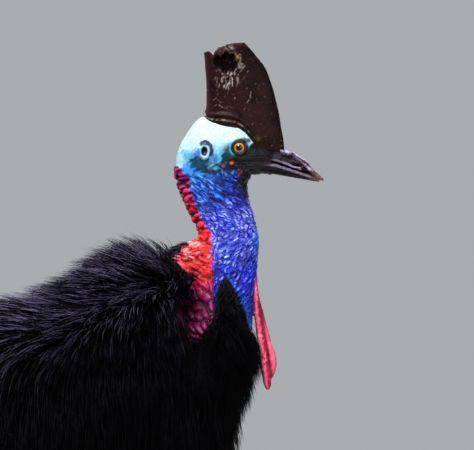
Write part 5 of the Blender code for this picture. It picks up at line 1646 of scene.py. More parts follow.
def lay_guides(lie, roots, normals, lengths, flow, deep, rise, dice, steps=7):
    """Paths of tufts that follow a surface and hang free where it turns under."""
    place_now = roots.copy()
    normal = normals.copy()
    path = [roots - normals * deep]
    ways = [normals]
    sway = dice.normal(0.0, 0.075, (len(roots), 3))
    for i in range(1, steps + 1):
        share = i / steps
        drift = flow(place_now) + sway * (0.5 + share)
        into = np.sum(drift * normal, axis=1)
        keep = np.where(into > 0, 0.45, 0.0)
        drift = drift - normal * (into * (1 - keep))[:, None]
        down = normal * normal[:, 2:3] - (0.0, 0.0, 1.0)
        steep = np.maximum(np.linalg.norm(down, axis=1), 0.25)
        drift = drift + down * (0.85 * np.maximum(-into, 0.0) / steep)[:, None]
        drift /= np.maximum(np.linalg.norm(drift, axis=1), 1e-6)[:, None]
        place_now = place_now + drift * (lengths / steps)[:, None]
        spot, normal = lie.nearest(place_now)
        gap = np.sum((place_now - spot) * normal, axis=1)
        want = -deep + (deep + rise) * share ** 0.55
        pull = 0.02 + 0.28 * step_up(-0.50, 0.05, normal[:, 2])
        change = np.where(gap < want, want - gap, (want - gap) * pull)
        place_now = place_now + normal * change[:, None]
        path.append(place_now.copy())
        ways.append(normal)
    return np.stack(path, 1), np.stack(ways, 1)


def strands(name, path, ways, look, hue, unwrap, dice):
    """Tufts of tapered strands along guide paths, as one solid mesh with its bake map."""
    tufts, points, _ = path.shape
    each = look["each"]
    owner = np.repeat(np.arange(tufts), each)
    count = len(owner)
    shares = np.array((0.0, 0.2, 0.46, 0.74, 1.0) if look["fine"] else (0.0, 0.33, 0.68, 1.0))
    rings = len(shares) - 1
    top = 3 * rings
    reach = dice.uniform(0.62, 1.0, count)
    at = shares[None, :] * reach[:, None] * (points - 1)
    low = np.minimum(at.astype(int), points - 2)
    part = (at - low)[..., None]
    rows = owner[:, None]
    centre = path[rows, low] * (1 - part) + path[rows, low + 1] * part
    up = ways[rows, low] * (1 - part) + ways[rows, low + 1] * part
    along_path = np.gradient(centre, axis=1)
    along_path /= np.maximum(np.linalg.norm(along_path, axis=2), 1e-9)[..., None]
    side = np.cross(along_path, up)
    side /= np.maximum(np.linalg.norm(side, axis=2), 1e-9)[..., None]
    up = np.cross(side, along_path)
    spread = look["spread"] * dice.normal(0.0, 1.0, count)
    stack = look["spread"] * look.get("stack", 0.35) * dice.normal(0.0, 1.0, count)
    gather = dice.uniform(look["gather"][0], look["gather"][1], tufts)[owner]
    narrow = 1 + (gather[:, None] - 1) * shares[None, :]
    wave = look["wave"] * dice.normal(0.0, 1.0, count)[:, None] * np.sin(
        shares[None, :] * dice.uniform(2.0, 5.0, count)[:, None] + dice.uniform(0, 6.3, count)[:, None])
    centre = centre + side * (spread[:, None] * narrow + wave * shares[None, :])[..., None]
    centre = centre + up * (stack[:, None] * narrow)[..., None]
    width = look["width"] * dice.uniform(0.7, 1.3, count)
    wide = width[:, None] * np.array((0.55, 1.0, 0.95, 0.62) if look["fine"] else (0.6, 1.0, 0.75))[None, :] / 2
    verts = np.empty((count, top + 1, 3))
    for k in range(3):
        angle = math.pi / 2 + k * 2 * math.pi / 3
        ring = side[:, :rings] * (np.cos(angle) * wide)[..., None]
        ring = ring + up[:, :rings] * (np.sin(angle) * wide * 0.62)[..., None]
        verts[:, k:top:3] = centre[:, :rings] + ring
    verts[:, top] = centre[:, rings]
    faces = [(0, 2, 1)]
    for i in range(rings - 1):
        for k in range(3):
            m = (k + 1) % 3
            a, b, c, d = i * 3 + k, i * 3 + m, i * 3 + 3 + m, i * 3 + 3 + k
            faces += [(a, b, c), (a, c, d)]
    faces += [(top - 3, top - 2, top), (top - 2, top - 1, top), (top - 1, top - 3, top)]
    faces = np.array(faces)
    one = verts[0]
    solid = sum(np.dot(one[a], np.cross(one[b], one[c])) for a, b, c in faces)
    if solid < 0:
        faces = faces[:, ::-1]
    every = (faces[None] + (top + 1) * np.arange(count)[:, None, None]).reshape(-1, 3)
    mesh = plain_mesh(name, verts.reshape(-1, 3), every)
    tones = dice.uniform(0.0, 1.0, count) * 0.6 + dice.uniform(0.0, 1.0, tufts)[owner] * 0.4
    colours = hue(centre[:, 1], tones, dice)
    corner_colours(mesh, "hue", np.repeat(colours, top + 1, axis=0))
    flat = unwrap(path[:, 0])[owner]
    patch = np.empty((count, top + 1, 2))
    patch[:, :top, 0] = np.tile((0.0, 0.0015, 0.003), rings)
    patch[:, :top, 1] = np.repeat(0.003 * shares[:rings], 3)
    patch[:, top] = (0.0015, 0.003)
    jitter = dice.uniform(-0.0015, 0.0015, (count, 2))
    spots = (flat + jitter)[:, None, :] + patch
    layer = mesh.uv_layers.new(name="OFBake")
    layer.data.foreach_set("uv", np.clip(spots, 0.0, 1.0).reshape(-1, 2)[every.ravel()].astype(np.float32).ravel())
    mesh.shade_smooth()
    return bpy.data.objects.new(name, mesh)


def body_rows(x):
    """Low, high and middle of the body core at places along it."""
    rows = smooth(TORSO, np.clip(x, TORSO[0][0], TORSO[-1][0]))
    return rows[:, 1], rows[:, 2], rows[:, 1] + TORSO_WIDE * (rows[:, 2] - rows[:, 1])


def body_flow(co):
    """Way that the body's feathers lie: back along the spine, down on the flanks and breast."""
    _, high, _ = body_rows(co[:, 0])
    depth = np.clip(high - co[:, 2], 0.0, None)
    angle = 26 + 62 * (1 - np.exp(-depth / 0.045))
    fore = step_up(0.345, 0.41, co[:, 0])
    angle = angle + (98 + 8 * step_up(0.93, 0.86, co[:, 2]) - angle) * fore
    tail = step_up(-0.30, -0.47, co[:, 0])
    angle = np.radians(angle + (78 - angle) * tail)
    return np.stack([-np.cos(angle), np.zeros(len(co)), -np.sin(angle)], 1)


def neck_flow(co):
    """Way that feathers lie on the root of the neck: down and spreading."""
    u, v = drawn(co)
    way = np.stack([(u - 226.0) * 0.9, np.zeros(len(co)), -(np.maximum(v - 262.0, 6.0))], 1)
    return way / np.linalg.norm(way, axis=1)[:, None]


def nape_flow(co):
    """Way that the feathers behind the nape lie."""
    way = np.tile((-1.0, 0.0, -0.10), (len(co), 1))
    return way / np.linalg.norm(way, axis=1)[:, None]


def leg_flow(co):
    """Way that the thigh's feathers lie."""
    way = np.tile((-0.28, 0.0, -1.0), (len(co), 1))
    return way / np.linalg.norm(way, axis=1)[:, None]


def is_bare(co, more=5.0):
    """Whether places lie on the bare skin of the neck; feathers overlap its rear edge by more."""
    u, v = drawn(co)
    wedge = (u > along(WEDGE_EDGE, v) + 0.5) & (u < along(TONGUE_EDGE, v) - 1.0) & (v > 278.0)
    rear = along(SHOULDER_EDGE, v) + more * step_up(256.0, 262.0, v)
    middle = (np.abs(co[:, 1]) < 0.030) & (v > 249.0) & (u < 187.0)
    return (v < 344.0) & (u > rear) & ~wedge & ~middle


def body_unwrap(co):
    """Flat place of points of the body: along it and round it."""
    _, _, middle = body_rows(co[:, 0])
    turn = np.arctan2(np.abs(co[:, 1]), co[:, 2] - middle) / math.pi
    return np.stack([(co[:, 0] + 0.52) / 0.98, turn], 1) * 0.98 + 0.01


def leg_unwrap(co):
    """Flat place of points of a thigh."""
    turn = np.arctan2(np.abs(co[:, 1]) - LEG_Y, co[:, 0] + 0.02) / (2 * math.pi) + 0.5
    return np.stack([(co[:, 2] - 0.35) / 0.45, turn], 1) * 0.98 + 0.01


def coat_hue(hues):
    """Colours of strands by place: a painted blue sheen on the shoulder, brown low in front."""

    def colours(co, tones, dice):
        u, v = drawn(co)
        out = mix(np.tile(np.array(hues.coat_black), (len(co), 1)), hues.coat_grey, 0.65 * tones ** 2)
        depth = v - np.interp(u, (-400, -200, -60, 0, 60, 100, 150, 185), (390, 320, 306, 298, 280, 262, 250, 252))
        # bluish strands high on the shoulder and back: painted sheen
        blue = step_up(0.55, 0.78, tones) * step_up(92.0, 12.0, depth) * (0.5 + 0.5 * step_up(190.0, 120.0, u)) * (u < 194)
        out = mix(out, hues.coat_blue_sheen, 0.95 * blue)
        brown = step_up(0.6, 0.95, 1 - tones) * step_up(370.0, 430.0, v) * step_up(-60.0, 100.0, u)
        out = mix(out, hues.coat_brown, 0.6 * brown)
        return out

    return colours


def body_coats(sizes, hues, lie):
    """Coat of the body in pieces, denser and finer towards the front."""
    made = []
    limits = (-0.60, -0.27, -0.04, 0.15, 0.29, 0.60)
    words = ("tail", "rump", "flank", "shoulder", "breast")
    for side, word in RIGHT_LEFT:
        for number, name in enumerate(words):
            low, high = limits[number:number + 2]
            dice = np.random.default_rng(SEED + number * 2 + (side > 0))
            front = number >= 2
            near = side < 0

            def weight(co):
                """One piece's share of the body, denser along the crest of the shoulders."""
                inside = (co[:, 0] >= low) & (co[:, 0] < high) & (co[:, 1] * side > 0)
                _, top, _ = body_rows(co[:, 0])
                crest = step_up(0.10, 0.02, top - co[:, 2]) * step_up(0.18, 0.24, co[:, 0])
                return inside * ~is_bare(co) * (1 + 1.1 * crest)

            many = (0.62, 0.75, 0.95, 0.86, 0.82) if near else (0.58, 0.68, 0.74, 0.60, 0.66)
            tufts = int(sizes.tufts * many[number])
            roots, normals = lie.roots(tufts, dice, weight)
            fine = (1.0, 0.95, 0.75, 0.62, 0.55)[number]
            lengths = dice.uniform(0.62, 1.25, tufts) * (0.150, 0.145, 0.120, 0.090, 0.080)[number]
            _, high_now, _ = body_rows(roots[:, 0])
            crest = step_up(0.16, 0.02, high_now - roots[:, 2]) * step_up(-0.1, 0.1, roots[:, 0])
            even = dice.uniform(0.45, 1.0, tufts)
            hump = step_up(0.215, 0.29, roots[:, 0]) * step_up(0.10, 0.02, high_now - roots[:, 2])
            rise = (even + (0.92 - even) * 0.7 * crest) * ((0.021 if front else 0.026) + 0.014 * crest)
            rise = rise + 0.018 * hump
            lengths = lengths * (1 - 0.38 * crest)
            chest = step_up(0.355, 0.385, roots[:, 0])
            low_chest = step_up(0.25, 0.31, roots[:, 0]) * step_up(0.93, 0.86, roots[:, 2])
            rise = rise * (1 - 0.34 * chest * step_up(0.88, 0.94, roots[:, 2]) * step_up(1.03, 0.98, roots[:, 2]))
            rise = rise + 0.020 * low_chest
            rise = rise + 0.018 * step_up(0.29, 0.33, roots[:, 0]) * step_up(0.96, 0.90, roots[:, 2])
            rise = rise + 0.009 * crest * step_up(0.34, 0.26, roots[:, 0])
            path, ways = lay_guides(lie, roots, normals, lengths, body_flow, 0.014, rise, dice)
            slack = 6.5 if near else 16.0
            good = ~np.any([is_bare(path[:, i], slack) for i in range(1, path.shape[1])], axis=0)
            look = {"each": sizes.strands, "fine": near and front or number > 2,
                    "spread": 0.0086 * fine, "gather": (0.70, 1.40) if front else (0.40, 1.1), "stack": 0.60,
                    "wave": 0.0030 * fine, "width": sizes.strand_width * fine * (0.86 if front else 1.0)}
            made.append((f"coat_{name}_{word}", strands(
                name, path[good], ways[good], look, coat_hue(hues), body_unwrap, dice)))
    return made


def neck_coats(sizes, hues, lie):
    """Short feathers between the blue front and the red sides of the neck's root."""
    made = []
    for side, word in RIGHT_LEFT:
        dice = np.random.default_rng(SEED + 40 + (side > 0))

        def weight(co):
            """Feathered part of the neck's root."""
            u, v = drawn(co)
            wedge = (u > along(WEDGE_EDGE, v) + 1.0) & (u < along(TONGUE_EDGE, v) - 1.5)
            return wedge * (co[:, 1] * side > 0) * (v > 275.5) * (v < 366.0)

        tufts = int(sizes.tufts * 0.36)
        roots, normals = lie.roots(tufts, dice, weight)
        _, v = drawn(roots)
        lengths = dice.uniform(0.8, 1.2, tufts) * (0.022 + 0.036 * step_up(282.0, 335.0, v))
        rise = dice.uniform(0.3, 1.0, tufts) * (0.004 + 0.013 * step_up(285.0, 345.0, v))
        path, ways = lay_guides(lie, roots, normals, lengths, neck_flow, 0.005, rise, dice)
        look = {"each": sizes.strands, "fine": True, "spread": 0.0034, "gather": (0.35, 1.1),
                "wave": 0.0016, "width": sizes.strand_width * 0.48}
        made.append((f"coat_neck_{word}", strands("neck", path, ways, look, coat_hue(hues), body_unwrap, dice)))
    return made


def nape_coats(sizes, hues):
    """Short feathers that stand up behind the loose red skin of the nape."""
    made = []
    for side, word in RIGHT_LEFT:
        dice = np.random.default_rng(SEED + 80 + (side > 0))
        lie = Lie([loft("flare", level_rings(FLARE, 1.5, 72))], 0.003, 4)

        def weight(co):
            """Feathered middle of the shoulder of skin."""
            u, v = drawn(co)
            return (u > 173.0) * (u < 192.0) * (co[:, 1] * side > 0) * (np.abs(co[:, 1]) < 0.021) * (v < 256.0)

        tufts = int(sizes.tufts * 0.10)
        roots, normals = lie.roots(tufts, dice, weight)
        lengths = dice.uniform(0.4, 1.4, tufts) * 0.030
        rise = dice.uniform(0.2, 1.1, tufts) * 0.010
        path, ways = lay_guides(lie, roots, normals, lengths, nape_flow, 0.004, rise, dice)
        look = {"each": sizes.strands, "fine": True, "spread": 0.0030, "gather": (0.6, 1.4),
                "wave": 0.0014, "width": sizes.strand_width * 0.42}
        made.append((f"coat_nape_{word}", strands("nape", path, ways, look, coat_hue(hues), body_unwrap, dice)))
    return made


def thigh_coats(sizes, hues):
    """Feathers of the thighs down to the joint of the shank."""
    made = []
    for side, word in RIGHT_LEFT:
        dice = np.random.default_rng(SEED + 60 + (side > 0))
        lie = Lie([loft("thigh", limb_rings(THIGH, side, np.linspace(0, 6, 40), 40))], 0.008)
        tufts = int(sizes.tufts * 0.56)
        roots, normals = lie.roots(tufts, dice, lambda co: (co[:, 2] < 0.70) * (co[:, 2] > 0.432))
        lengths = dice.uniform(0.75, 1.15, tufts) * 0.080 * step_up(0.34, 0.56, roots[:, 2]) + 0.022
        rise = dice.uniform(0.3, 1.0, tufts) * 0.013
        path, ways = lay_guides(lie, roots, normals, lengths, leg_flow, 0.010, rise, dice)
        look = {"each": sizes.strands, "fine": False, "spread": 0.0058, "gather": (0.3, 1.0),
                "wave": 0.0022, "width": sizes.strand_width * 0.85}
        made.append((f"coat_thigh_{word}", strands("thigh", path, ways, look, coat_hue(hues), leg_unwrap, dice)))
    return made


def coat_finish():
    """Black feathers with a cool gloss."""
    made = Finish("black_feathers", 0.42, Specular_IOR_Level=0.05, Specular_Tint=(0.74, 0.74, 1.0, 1.0))
    hue = made.attribute("hue")
    fine = made.noise(260.0, 3.0)
    made.colour(made.blend(1.0, hue, made.ramp(fine, (0.3, 0.6), (0.7, 1.25)), "MULTIPLY"))
    made.roughness(fine, 0.34, 0.62)
    return made.made


def bristle_tree(sizes, finish):
    """Geometry nodes that set short bent bristles on the skin."""
    tree = bpy.data.node_groups.new("skin_bristles", "GeometryNodeTree")
    face = tree.interface
    face.new_socket("Skin", in_out="INPUT", socket_type="NodeSocketGeometry")
    density = face.new_socket("Density", in_out="INPUT", socket_type="NodeSocketFloat")
    length = face.new_socket("Length", in_out="INPUT", socket_type="NodeSocketFloat")
    thick = face.new_socket("Thickness", in_out="INPUT", socket_type="NodeSocketFloat")
    face.new_socket("Bristles", in_out="OUTPUT", socket_type="NodeSocketGeometry")
    density.default_value = sizes.bristles
    length.default_value = sizes.bristle_length
    thick.default_value = sizes.bristle_thick
    nodes = tree.nodes
    wires = tree.links
    start = nodes.new("NodeGroupInput")
    end = nodes.new("NodeGroupOutput")
    where = nodes.new("GeometryNodeInputNamedAttribute")
    where.data_type = "FLOAT"
    where.inputs["Name"].default_value = "bristle"
    times = nodes.new("ShaderNodeMath")
    times.operation = "MULTIPLY"
    wires.new(start.outputs["Density"], times.inputs[0])
    wires.new(where.outputs["Attribute"], times.inputs[1])
    spread = nodes.new("GeometryNodeDistributePointsOnFaces")
    spread.inputs["Seed"].default_value = SEED
    wires.new(start.outputs["Skin"], spread.inputs["Mesh"])
    wires.new(times.outputs[0], spread.inputs["Density"])
    path = nodes.new("GeometryNodeCurveQuadraticBezier")
    path.inputs["Resolution"].default_value = 4
    path.inputs["Start"].default_value = (0.0, 0.0, -0.15)
    path.inputs["Middle"].default_value = (0.0, 0.0, 0.5)
    path.inputs["End"].default_value = (-0.75, 0.0, 0.75)
    round_one = nodes.new("GeometryNodeCurvePrimitiveCircle")
    round_one.inputs["Resolution"].default_value = 3
    round_one.inputs["Radius"].default_value = 1.0
    taper = nodes.new("GeometryNodeSetCurveRadius")
    share = nodes.new("GeometryNodeSplineParameter")
    slim = nodes.new("ShaderNodeMath")
    slim.operation = "SUBTRACT"
    slim.inputs[0].default_value = 1.05
    wires.new(share.outputs["Factor"], slim.inputs[1])
    width = nodes.new("ShaderNodeMath")
    width.operation = "MULTIPLY"
    ratio = nodes.new("ShaderNodeMath")
    ratio.operation = "DIVIDE"
    wires.new(start.outputs["Thickness"], ratio.inputs[0])
    wires.new(start.outputs["Length"], ratio.inputs[1])
    wires.new(slim.outputs[0], width.inputs[0])
    wires.new(ratio.outputs[0], width.inputs[1])
    wires.new(path.outputs["Curve"], taper.inputs["Curve"])
    wires.new(width.outputs[0], taper.inputs["Radius"])
    solid = nodes.new("GeometryNodeCurveToMesh")
    solid.inputs["Fill Caps"].default_value = True
    wires.new(taper.outputs["Curve"], solid.inputs["Curve"])
    wires.new(round_one.outputs["Curve"], solid.inputs["Profile Curve"])
    if "Scale" in solid.inputs:
        wires.new(width.outputs[0], solid.inputs["Scale"])
    size = nodes.new("FunctionNodeRandomValue")
    size.data_type = "FLOAT"
    size.inputs[2].default_value = 0.45
    size.inputs[3].default_value = 1.15
    size.inputs["Seed"].default_value = SEED + 1
    grow = nodes.new("ShaderNodeMath")
    grow.operation = "MULTIPLY"
    wires.new(size.outputs[1], grow.inputs[0])
    wires.new(start.outputs["Length"], grow.inputs[1])
    put = nodes.new("GeometryNodeInstanceOnPoints")
    wires.new(spread.outputs["Points"], put.inputs["Points"])
    wires.new(solid.outputs["Mesh"], put.inputs["Instance"])
    wires.new(spread.outputs["Rotation"], put.inputs["Rotation"])
    wires.new(grow.outputs[0], put.inputs["Scale"])
    real = nodes.new("GeometryNodeRealizeInstances")
    wires.new(put.outputs["Instances"], real.inputs["Geometry"])
    dress = nodes.new("GeometryNodeSetMaterial")
    dress.inputs["Material"].default_value = finish
    wires.new(real.outputs["Geometry"], dress.inputs["Geometry"])
    wires.new(dress.outputs["Geometry"], end.inputs["Bristles"])
    return tree, {"density": density.identifier, "length": length.identifier, "thick": thick.identifier}


def make_bristles(skin, sizes, finish):
    """Sparse black bristles on the neck."""
    tree, keys = bristle_tree(sizes, finish)
    holder = bpy.data.objects.new("neck_bristles", skin.data.copy())
    bpy.context.scene.collection.objects.link(holder)
    grow = holder.modifiers.new("bristles", "NODES")
    grow.node_group = tree
    grow[keys["density"]] = sizes.bristles
    grow[keys["length"]] = sizes.bristle_length
    grow[keys["thick"]] = sizes.bristle_thick
    old = holder.data
    mesh = settled(holder)
    holder.modifiers.clear()
    holder.data = mesh
    bpy.data.meshes.remove(old)
    turn_outward(holder.data)
    bpy.context.scene.collection.objects.unlink(holder)
    return holder


# Stage


def soft_light(name, place_at, target, size, power, tint=(1.0, 1.0, 1.0)):
    """Large soft lamp that faces a point."""
    lamp = bpy.data.lights.new(name, "AREA")
    lamp.shape = "SQUARE"
    lamp.size = size
    lamp.energy = power
    lamp.color = tint
    made = bpy.data.objects.new(name, lamp)
    made.location = place_at
    made.rotation_euler = (Vector(target) - Vector(place_at)).to_track_quat("-Z", "Y").to_euler()
    bpy.context.scene.collection.objects.link(made)


def make_stage(sizes):
    """Floor, lights, world and camera."""
    work = bmesh.new()
    bmesh.ops.create_grid(work, x_segments=8, y_segments=8, size=9.0)
    mesh = bpy.data.meshes.new("floor")
    work.to_mesh(mesh)
    work.free()
    floor = bpy.data.objects.new("floor", mesh)
    bpy.context.scene.collection.objects.link(floor)
    pale = Finish("pale_floor", 0.8)
    cloud = pale.noise(1.2, 3.0)
    pale.colour(pale.ramp(cloud, (0.3, (0.50, 0.50, 0.49)), (0.7, (0.54, 0.54, 0.53))))
    mesh.materials.append(pale.made)
    world = bpy.data.worlds.new("studio")
    world.use_nodes = True
    back = world.node_tree.nodes["Background"]
    back.inputs["Color"].default_value = (0.86, 0.90, 0.94, 1.0)
    back.inputs["Strength"].default_value = sizes.world
    bpy.context.scene.world = world
    aim = (0.30, 0.0, 1.10)
    soft_light("key", (-0.2, -2.1, 3.5), aim, 1.0, sizes.key_power)
    soft_light("fill", (2.6, -2.9, 1.9), aim, 2.4, sizes.key_power * 0.22)
    soft_light("top", (-0.6, 0.5, 3.6), aim, 1.4, sizes.key_power * 0.30)
    soft_light("far", (0.9, 3.2, 2.2), aim, 2.0, sizes.key_power * 0.25)
    rise = math.radians(sizes.elevation)
    far = sizes.distance
    lens = bpy.data.cameras.new("camera")
    lens.sensor_width = 36.0
    lens.lens = 36.0 * far / (474 * STEP)
    lens.clip_end = 60.0
    camera = bpy.data.objects.new("camera", lens)
    target = Vector((sx(237.0), 0.0, sz(225.0)))
    camera.location = target + Vector((0.0, -far * math.cos(rise), far * math.sin(rise)))
    camera.rotation_euler = (math.pi / 2 - rise, 0.0, 0.0)
    bpy.context.scene.collection.objects.link(camera)
    bpy.context.scene.camera = camera
    bpy.context.scene.view_settings.view_transform = "Standard"


# Settings


def hue(label, red, green, blue):
    """Colour setting from a paint chart value."""
    return bpy.props.FloatVectorProperty(
        name=label, description=f"{label} of the cassowary", subtype="COLOR", size=3, min=0.0, max=1.0,
        default=paint(red, green, blue))


def length(label, about, default):
    """Length setting in metres."""
    return bpy.props.FloatProperty(
        name=label, description=about, default=default, min=0.0, unit="LENGTH", precision=5)


def number(label, about, default):
    """Plain number setting."""
    return bpy.props.FloatProperty(name=label, description=about, default=default, min=0.0)


def amount(label, about, default):
    """Whole number setting."""
    return bpy.props.IntProperty(name=label, description=about, default=default, min=0)


class CassowarySizes(bpy.types.PropertyGroup):
    """Sizes of the skin, eyes, coat, bristles, lights and camera."""

    cell: length("Skin cell", "Size of the cells that the front skin is built from", 0.00150)
    skin_bump: number("Skin relief", "Strength of the fine skin relief", 0.70)
    iris: length("Iris radius", "Radius of the coloured ring of the eye", 0.0078)
    pupil: length("Pupil radius", "Radius of the pupil", 0.0041)
    tufts: amount("Tufts", "Tufts in one piece of the coat", 800)
    strands: amount("Strands", "Strands in a tuft", 10)
    strand_width: length("Strand width", "Width of a strand of the rear coat", 0.0025)
    bristles: number("Bristle density", "Bristles on a square metre of skin", 9000.0)
    bristle_length: length("Bristle length", "Length of a neck bristle", 0.0060)
    bristle_thick: length("Bristle thickness", "Radius of a neck bristle", 0.00022)
    key_power: bpy.props.FloatProperty(name="Main lamp", description="Power of the main lamp", default=182.0,
                                       unit="POWER")
    world: number("World light", "Strength of the even light all round", 0.46)
    elevation: bpy.props.FloatProperty(name="Camera rise", description="Degrees of the camera above level",
                                       default=1.5)
    distance: length("Camera distance", "Distance of the camera from the neck", 7.0)


class CassowaryHues(bpy.types.PropertyGroup):
    """Colours of the skin, horn, eyes, coat and legs."""

    crown: hue("Crown", 170, 200, 208)
    cheek: hue("Cheek", 74, 150, 188)
    cheek_light: hue("Light cheek", 80, 190, 214)
    cheek_deep: hue("Lower cheek", 2, 44, 62)
    navy: hue("Behind the mouth", 8, 12, 30)
    ear_light: hue("Ear rim", 160, 196, 224)
    ear_blue: hue("Skin round the ear", 46, 88, 160)
    # teal round the eye, also painted shadow under the brow
    eye_teal_and_brow_shadow: hue("Ring round the eye", 8, 38, 42)
    lid_dark: hue("Eyelid", 8, 12, 16)
    # dark blue of the ear, also painted shade in its hole and under its fold
    ear_dark_and_shade: hue("Ear hollow", 6, 10, 36)
    lore: hue("Lore", 5, 4, 7)
    jaw_pink: hue("Jaw wrinkles", 120, 80, 96)
    gape: hue("Corner of the mouth", 226, 84, 34)
    neck_blue: hue("Neck", 42, 62, 244)
    # painted highlight on the neck's wrinkle tops
    neck_wrinkle_highlight: hue("Neck wrinkle tops", 132, 146, 255)
    # dark navy of the neck, also painted shade in its creases
    neck_navy_and_crease_shade: hue("Neck folds", 8, 12, 84)
    neck_azure: hue("Neck azure", 34, 118, 240)
    neck_violet: hue("Neck front", 66, 48, 196)
    throat_dark: hue("Throat", 26, 18, 42)
    nape_purple: hue("Upper nape", 112, 6, 84)
    nape_crimson: hue("Nape crimson", 178, 10, 50)
    # painted highlight on the nape's ridge tops
    nape_ridge_highlight: hue("Nape ridge tops", 226, 70, 104)
    red: hue("Nape red", 236, 34, 34)
    coral: hue("Nape coral", 250, 50, 48)
    # painted highlight on the coral fold tops
    coral_fold_highlight: hue("Nape light", 255, 176, 174)
    plum: hue("Lower nape", 80, 2, 46)
    # painted highlight on the lobe tops
    plum_lobe_highlight: hue("Lower nape tops", 146, 44, 104)
    # painted shade in the grooves of the nape, and a painted shadow line on the far wattle
    dark_red_shade: hue("Lower nape grooves", 20, 0, 8)
    plum_light: hue("Lower nape light", 96, 4, 48)
    # dark red: painted shade in the coral's fold creases and at the wattles' edges, and the darker red low on the coral
    groove: hue("Nape grooves", 96, 8, 18)
    wattle: hue("Wattle", 220, 36, 74)
    # deep red folds of the wattles, also painted shade at the near one's front edge
    wattle_deep_and_shade: hue("Wattle folds", 118, 10, 36)
    # pale patches of the wattles, also a painted highlight along the near one's ridge
    wattle_pale_and_highlight: hue("Wattle light", 250, 128, 156)
    # painted shade on the skin under the coat
    under_coat_shade: hue("Skin under the coat", 6, 6, 7)
    horn_brown: hue("Casque", 35, 14, 12)
    horn_dark: hue("Casque dark", 14, 6, 5)
    horn_olive: hue("Casque low", 34, 19, 10)
    horn_yellow: hue("Casque foot", 96, 88, 36)
    # dark keel of the casque, also painted shade on its front
    horn_black_and_shade: hue("Casque keel", 16, 10, 9)
    # pinkish horn, also a painted highlight along the top rim
    horn_pink_and_highlight: hue("Casque rim", 88, 48, 54)
    # painted shade in the casque's hollow
    horn_hollow_shade: hue("Casque hollow", 3, 2, 1)
    # pale chips, scratches and specks of the casque, also a painted highlight on its rim
    horn_chips_and_glare: hue("Casque chips", 186, 172, 160)
    horn_ochre: hue("Casque core", 158, 116, 62)
    bill_black: hue("Bill", 9, 6, 8)
    # painted lavender highlight on the bill's ridges
    bill_lavender_sheen: hue("Bill light", 184, 162, 198)
    bill_slate: hue("Bill plate", 46, 37, 48)
    bill_tip: hue("Bill tip", 118, 88, 88)
    iris: hue("Iris", 190, 112, 24)
    iris_dark: hue("Iris edge", 96, 44, 10)
    coat_black: hue("Coat", 3, 3, 4)
    coat_grey: hue("Coat light", 8, 7, 9)
    # painted blue sheen on the strands of the shoulder
    coat_blue_sheen: hue("Back gloss", 102, 92, 128)
    coat_brown: hue("Lower breast", 26, 14, 12)
    leg_grey: hue("Legs", 108, 110, 98)
    leg_brown: hue("Legs brown", 94, 84, 66)
    leg_pale: hue("Leg plates", 140, 138, 118)
    leg_dark: hue("Leg ends", 46, 44, 42)
    quill: hue("Quills", 12, 12, 14)


def sizes_now():
    """Sizes set in the scene."""
    return bpy.context.scene.cassowary_sizes


def hues_now():
    """Colours set in the scene."""
    return bpy.context.scene.cassowary_hues


# Operators


class MakeSkin(bpy.types.Operator):
    """Make the skin of the head, neck, wattles and body, and its bristles"""

    bl_idname = "cassowary.skin"
    bl_label = "Skin"

    def execute(self, context):
        """Build the skin."""
        sizes, hues = sizes_now(), hues_now()
        skin = make_skin(sizes, hues)
        shade(skin)
        place(skin, "skin", "head", "neck_upper", "neck_lower", "wattle_right", "wattle_left",
              "torso", "thigh_right", "thigh_left", slot="head_skin")
        skin.data.materials.clear()
        skin.data.materials.append(skin_finish(sizes.skin_bump))
        black = Finish("black_bristle", 0.5)
        fine = black.noise(600.0)
        black.colour(black.ramp(fine, (0.3, (0.008, 0.008, 0.010)), (0.7, (0.024, 0.022, 0.026))))
        bristles = make_bristles(skin, sizes, black.made)
        shade(bristles)
        place(bristles, "neck_bristles", slot="plumage")
        return {"FINISHED"}


class MakeCasque(bpy.types.Operator):
    """Make the horn casque"""

    bl_idname = "cassowary.casque"
    bl_label = "Casque"

    def execute(self, context):
        """Build the casque."""
        shell = make_casque(sizes_now(), hues_now())
        shade(shell)
        place(shell, "casque_shell", "casque", slot="casque_horn")
        shell.data.materials.append(horn_finish("casque_horn", 0.34, 0.06, 0.50))
        return {"FINISHED"}


class MakeBill(bpy.types.Operator):
    """Make both halves of the bill"""

    bl_idname = "cassowary.bill"
    bl_label = "Bill"

    def execute(self, context):
        """Build the bill."""
        finish = horn_finish("bill_horn", 0.28, 0.12, 0.18)
        for name, node, table, upper in (("bill_top", "upper_bill", UPPER_BILL, True),
                                         ("bill_base", "lower_bill", LOWER_BILL, False)):
            half = make_bill(table, upper, hues_now())
            shade(half)
            place(half, name, node, slot="bill_horn")
            half.data.materials.append(finish)
        return {"FINISHED"}


class MakeEyes(bpy.types.Operator):
    """Make the eyes"""

    bl_idname = "cassowary.eyes"
    bl_label = "Eyes"

    def execute(self, context):
        """Build the eyes."""
        finish = eye_finish(sizes_now(), hues_now())
        for side, word in RIGHT_LEFT:
            eye = make_eye(side)
            shade(eye)
            place(eye, f"glass_eye_{word}", f"eye_{word}", slot="eye_gloss")
            eye.data.materials.append(finish)
        return {"FINISHED"}


class MakeWings(bpy.types.Operator):
    """Make the small wings with bare quills"""

    bl_idname = "cassowary.wings"
    bl_label = "Wings"

    def execute(self, context):
        """Build the wings."""
        finish = Finish("quill_horn", 0.55, Specular_IOR_Level=0.12)
        streak = finish.noise(1.0, 4.0, 0.6, finish.stretched((260.0, 260.0, 60.0)))
        dark = tuple(hues_now().quill)
        finish.colour(finish.ramp(streak, (0.3, dark), (0.7, tuple(2.6 * c for c in dark))))
        finish.bump(streak, 0.3, 0.0006)
        finish.roughness(streak, 0.22, 0.45)
        for side, word in RIGHT_LEFT:
            wing = make_wing(side)
            shade(wing)
            place(wing, f"quills_{word}", f"wing_{word}", slot="quill_horn")
            wing.data.materials.append(finish.made)
        return {"FINISHED"}


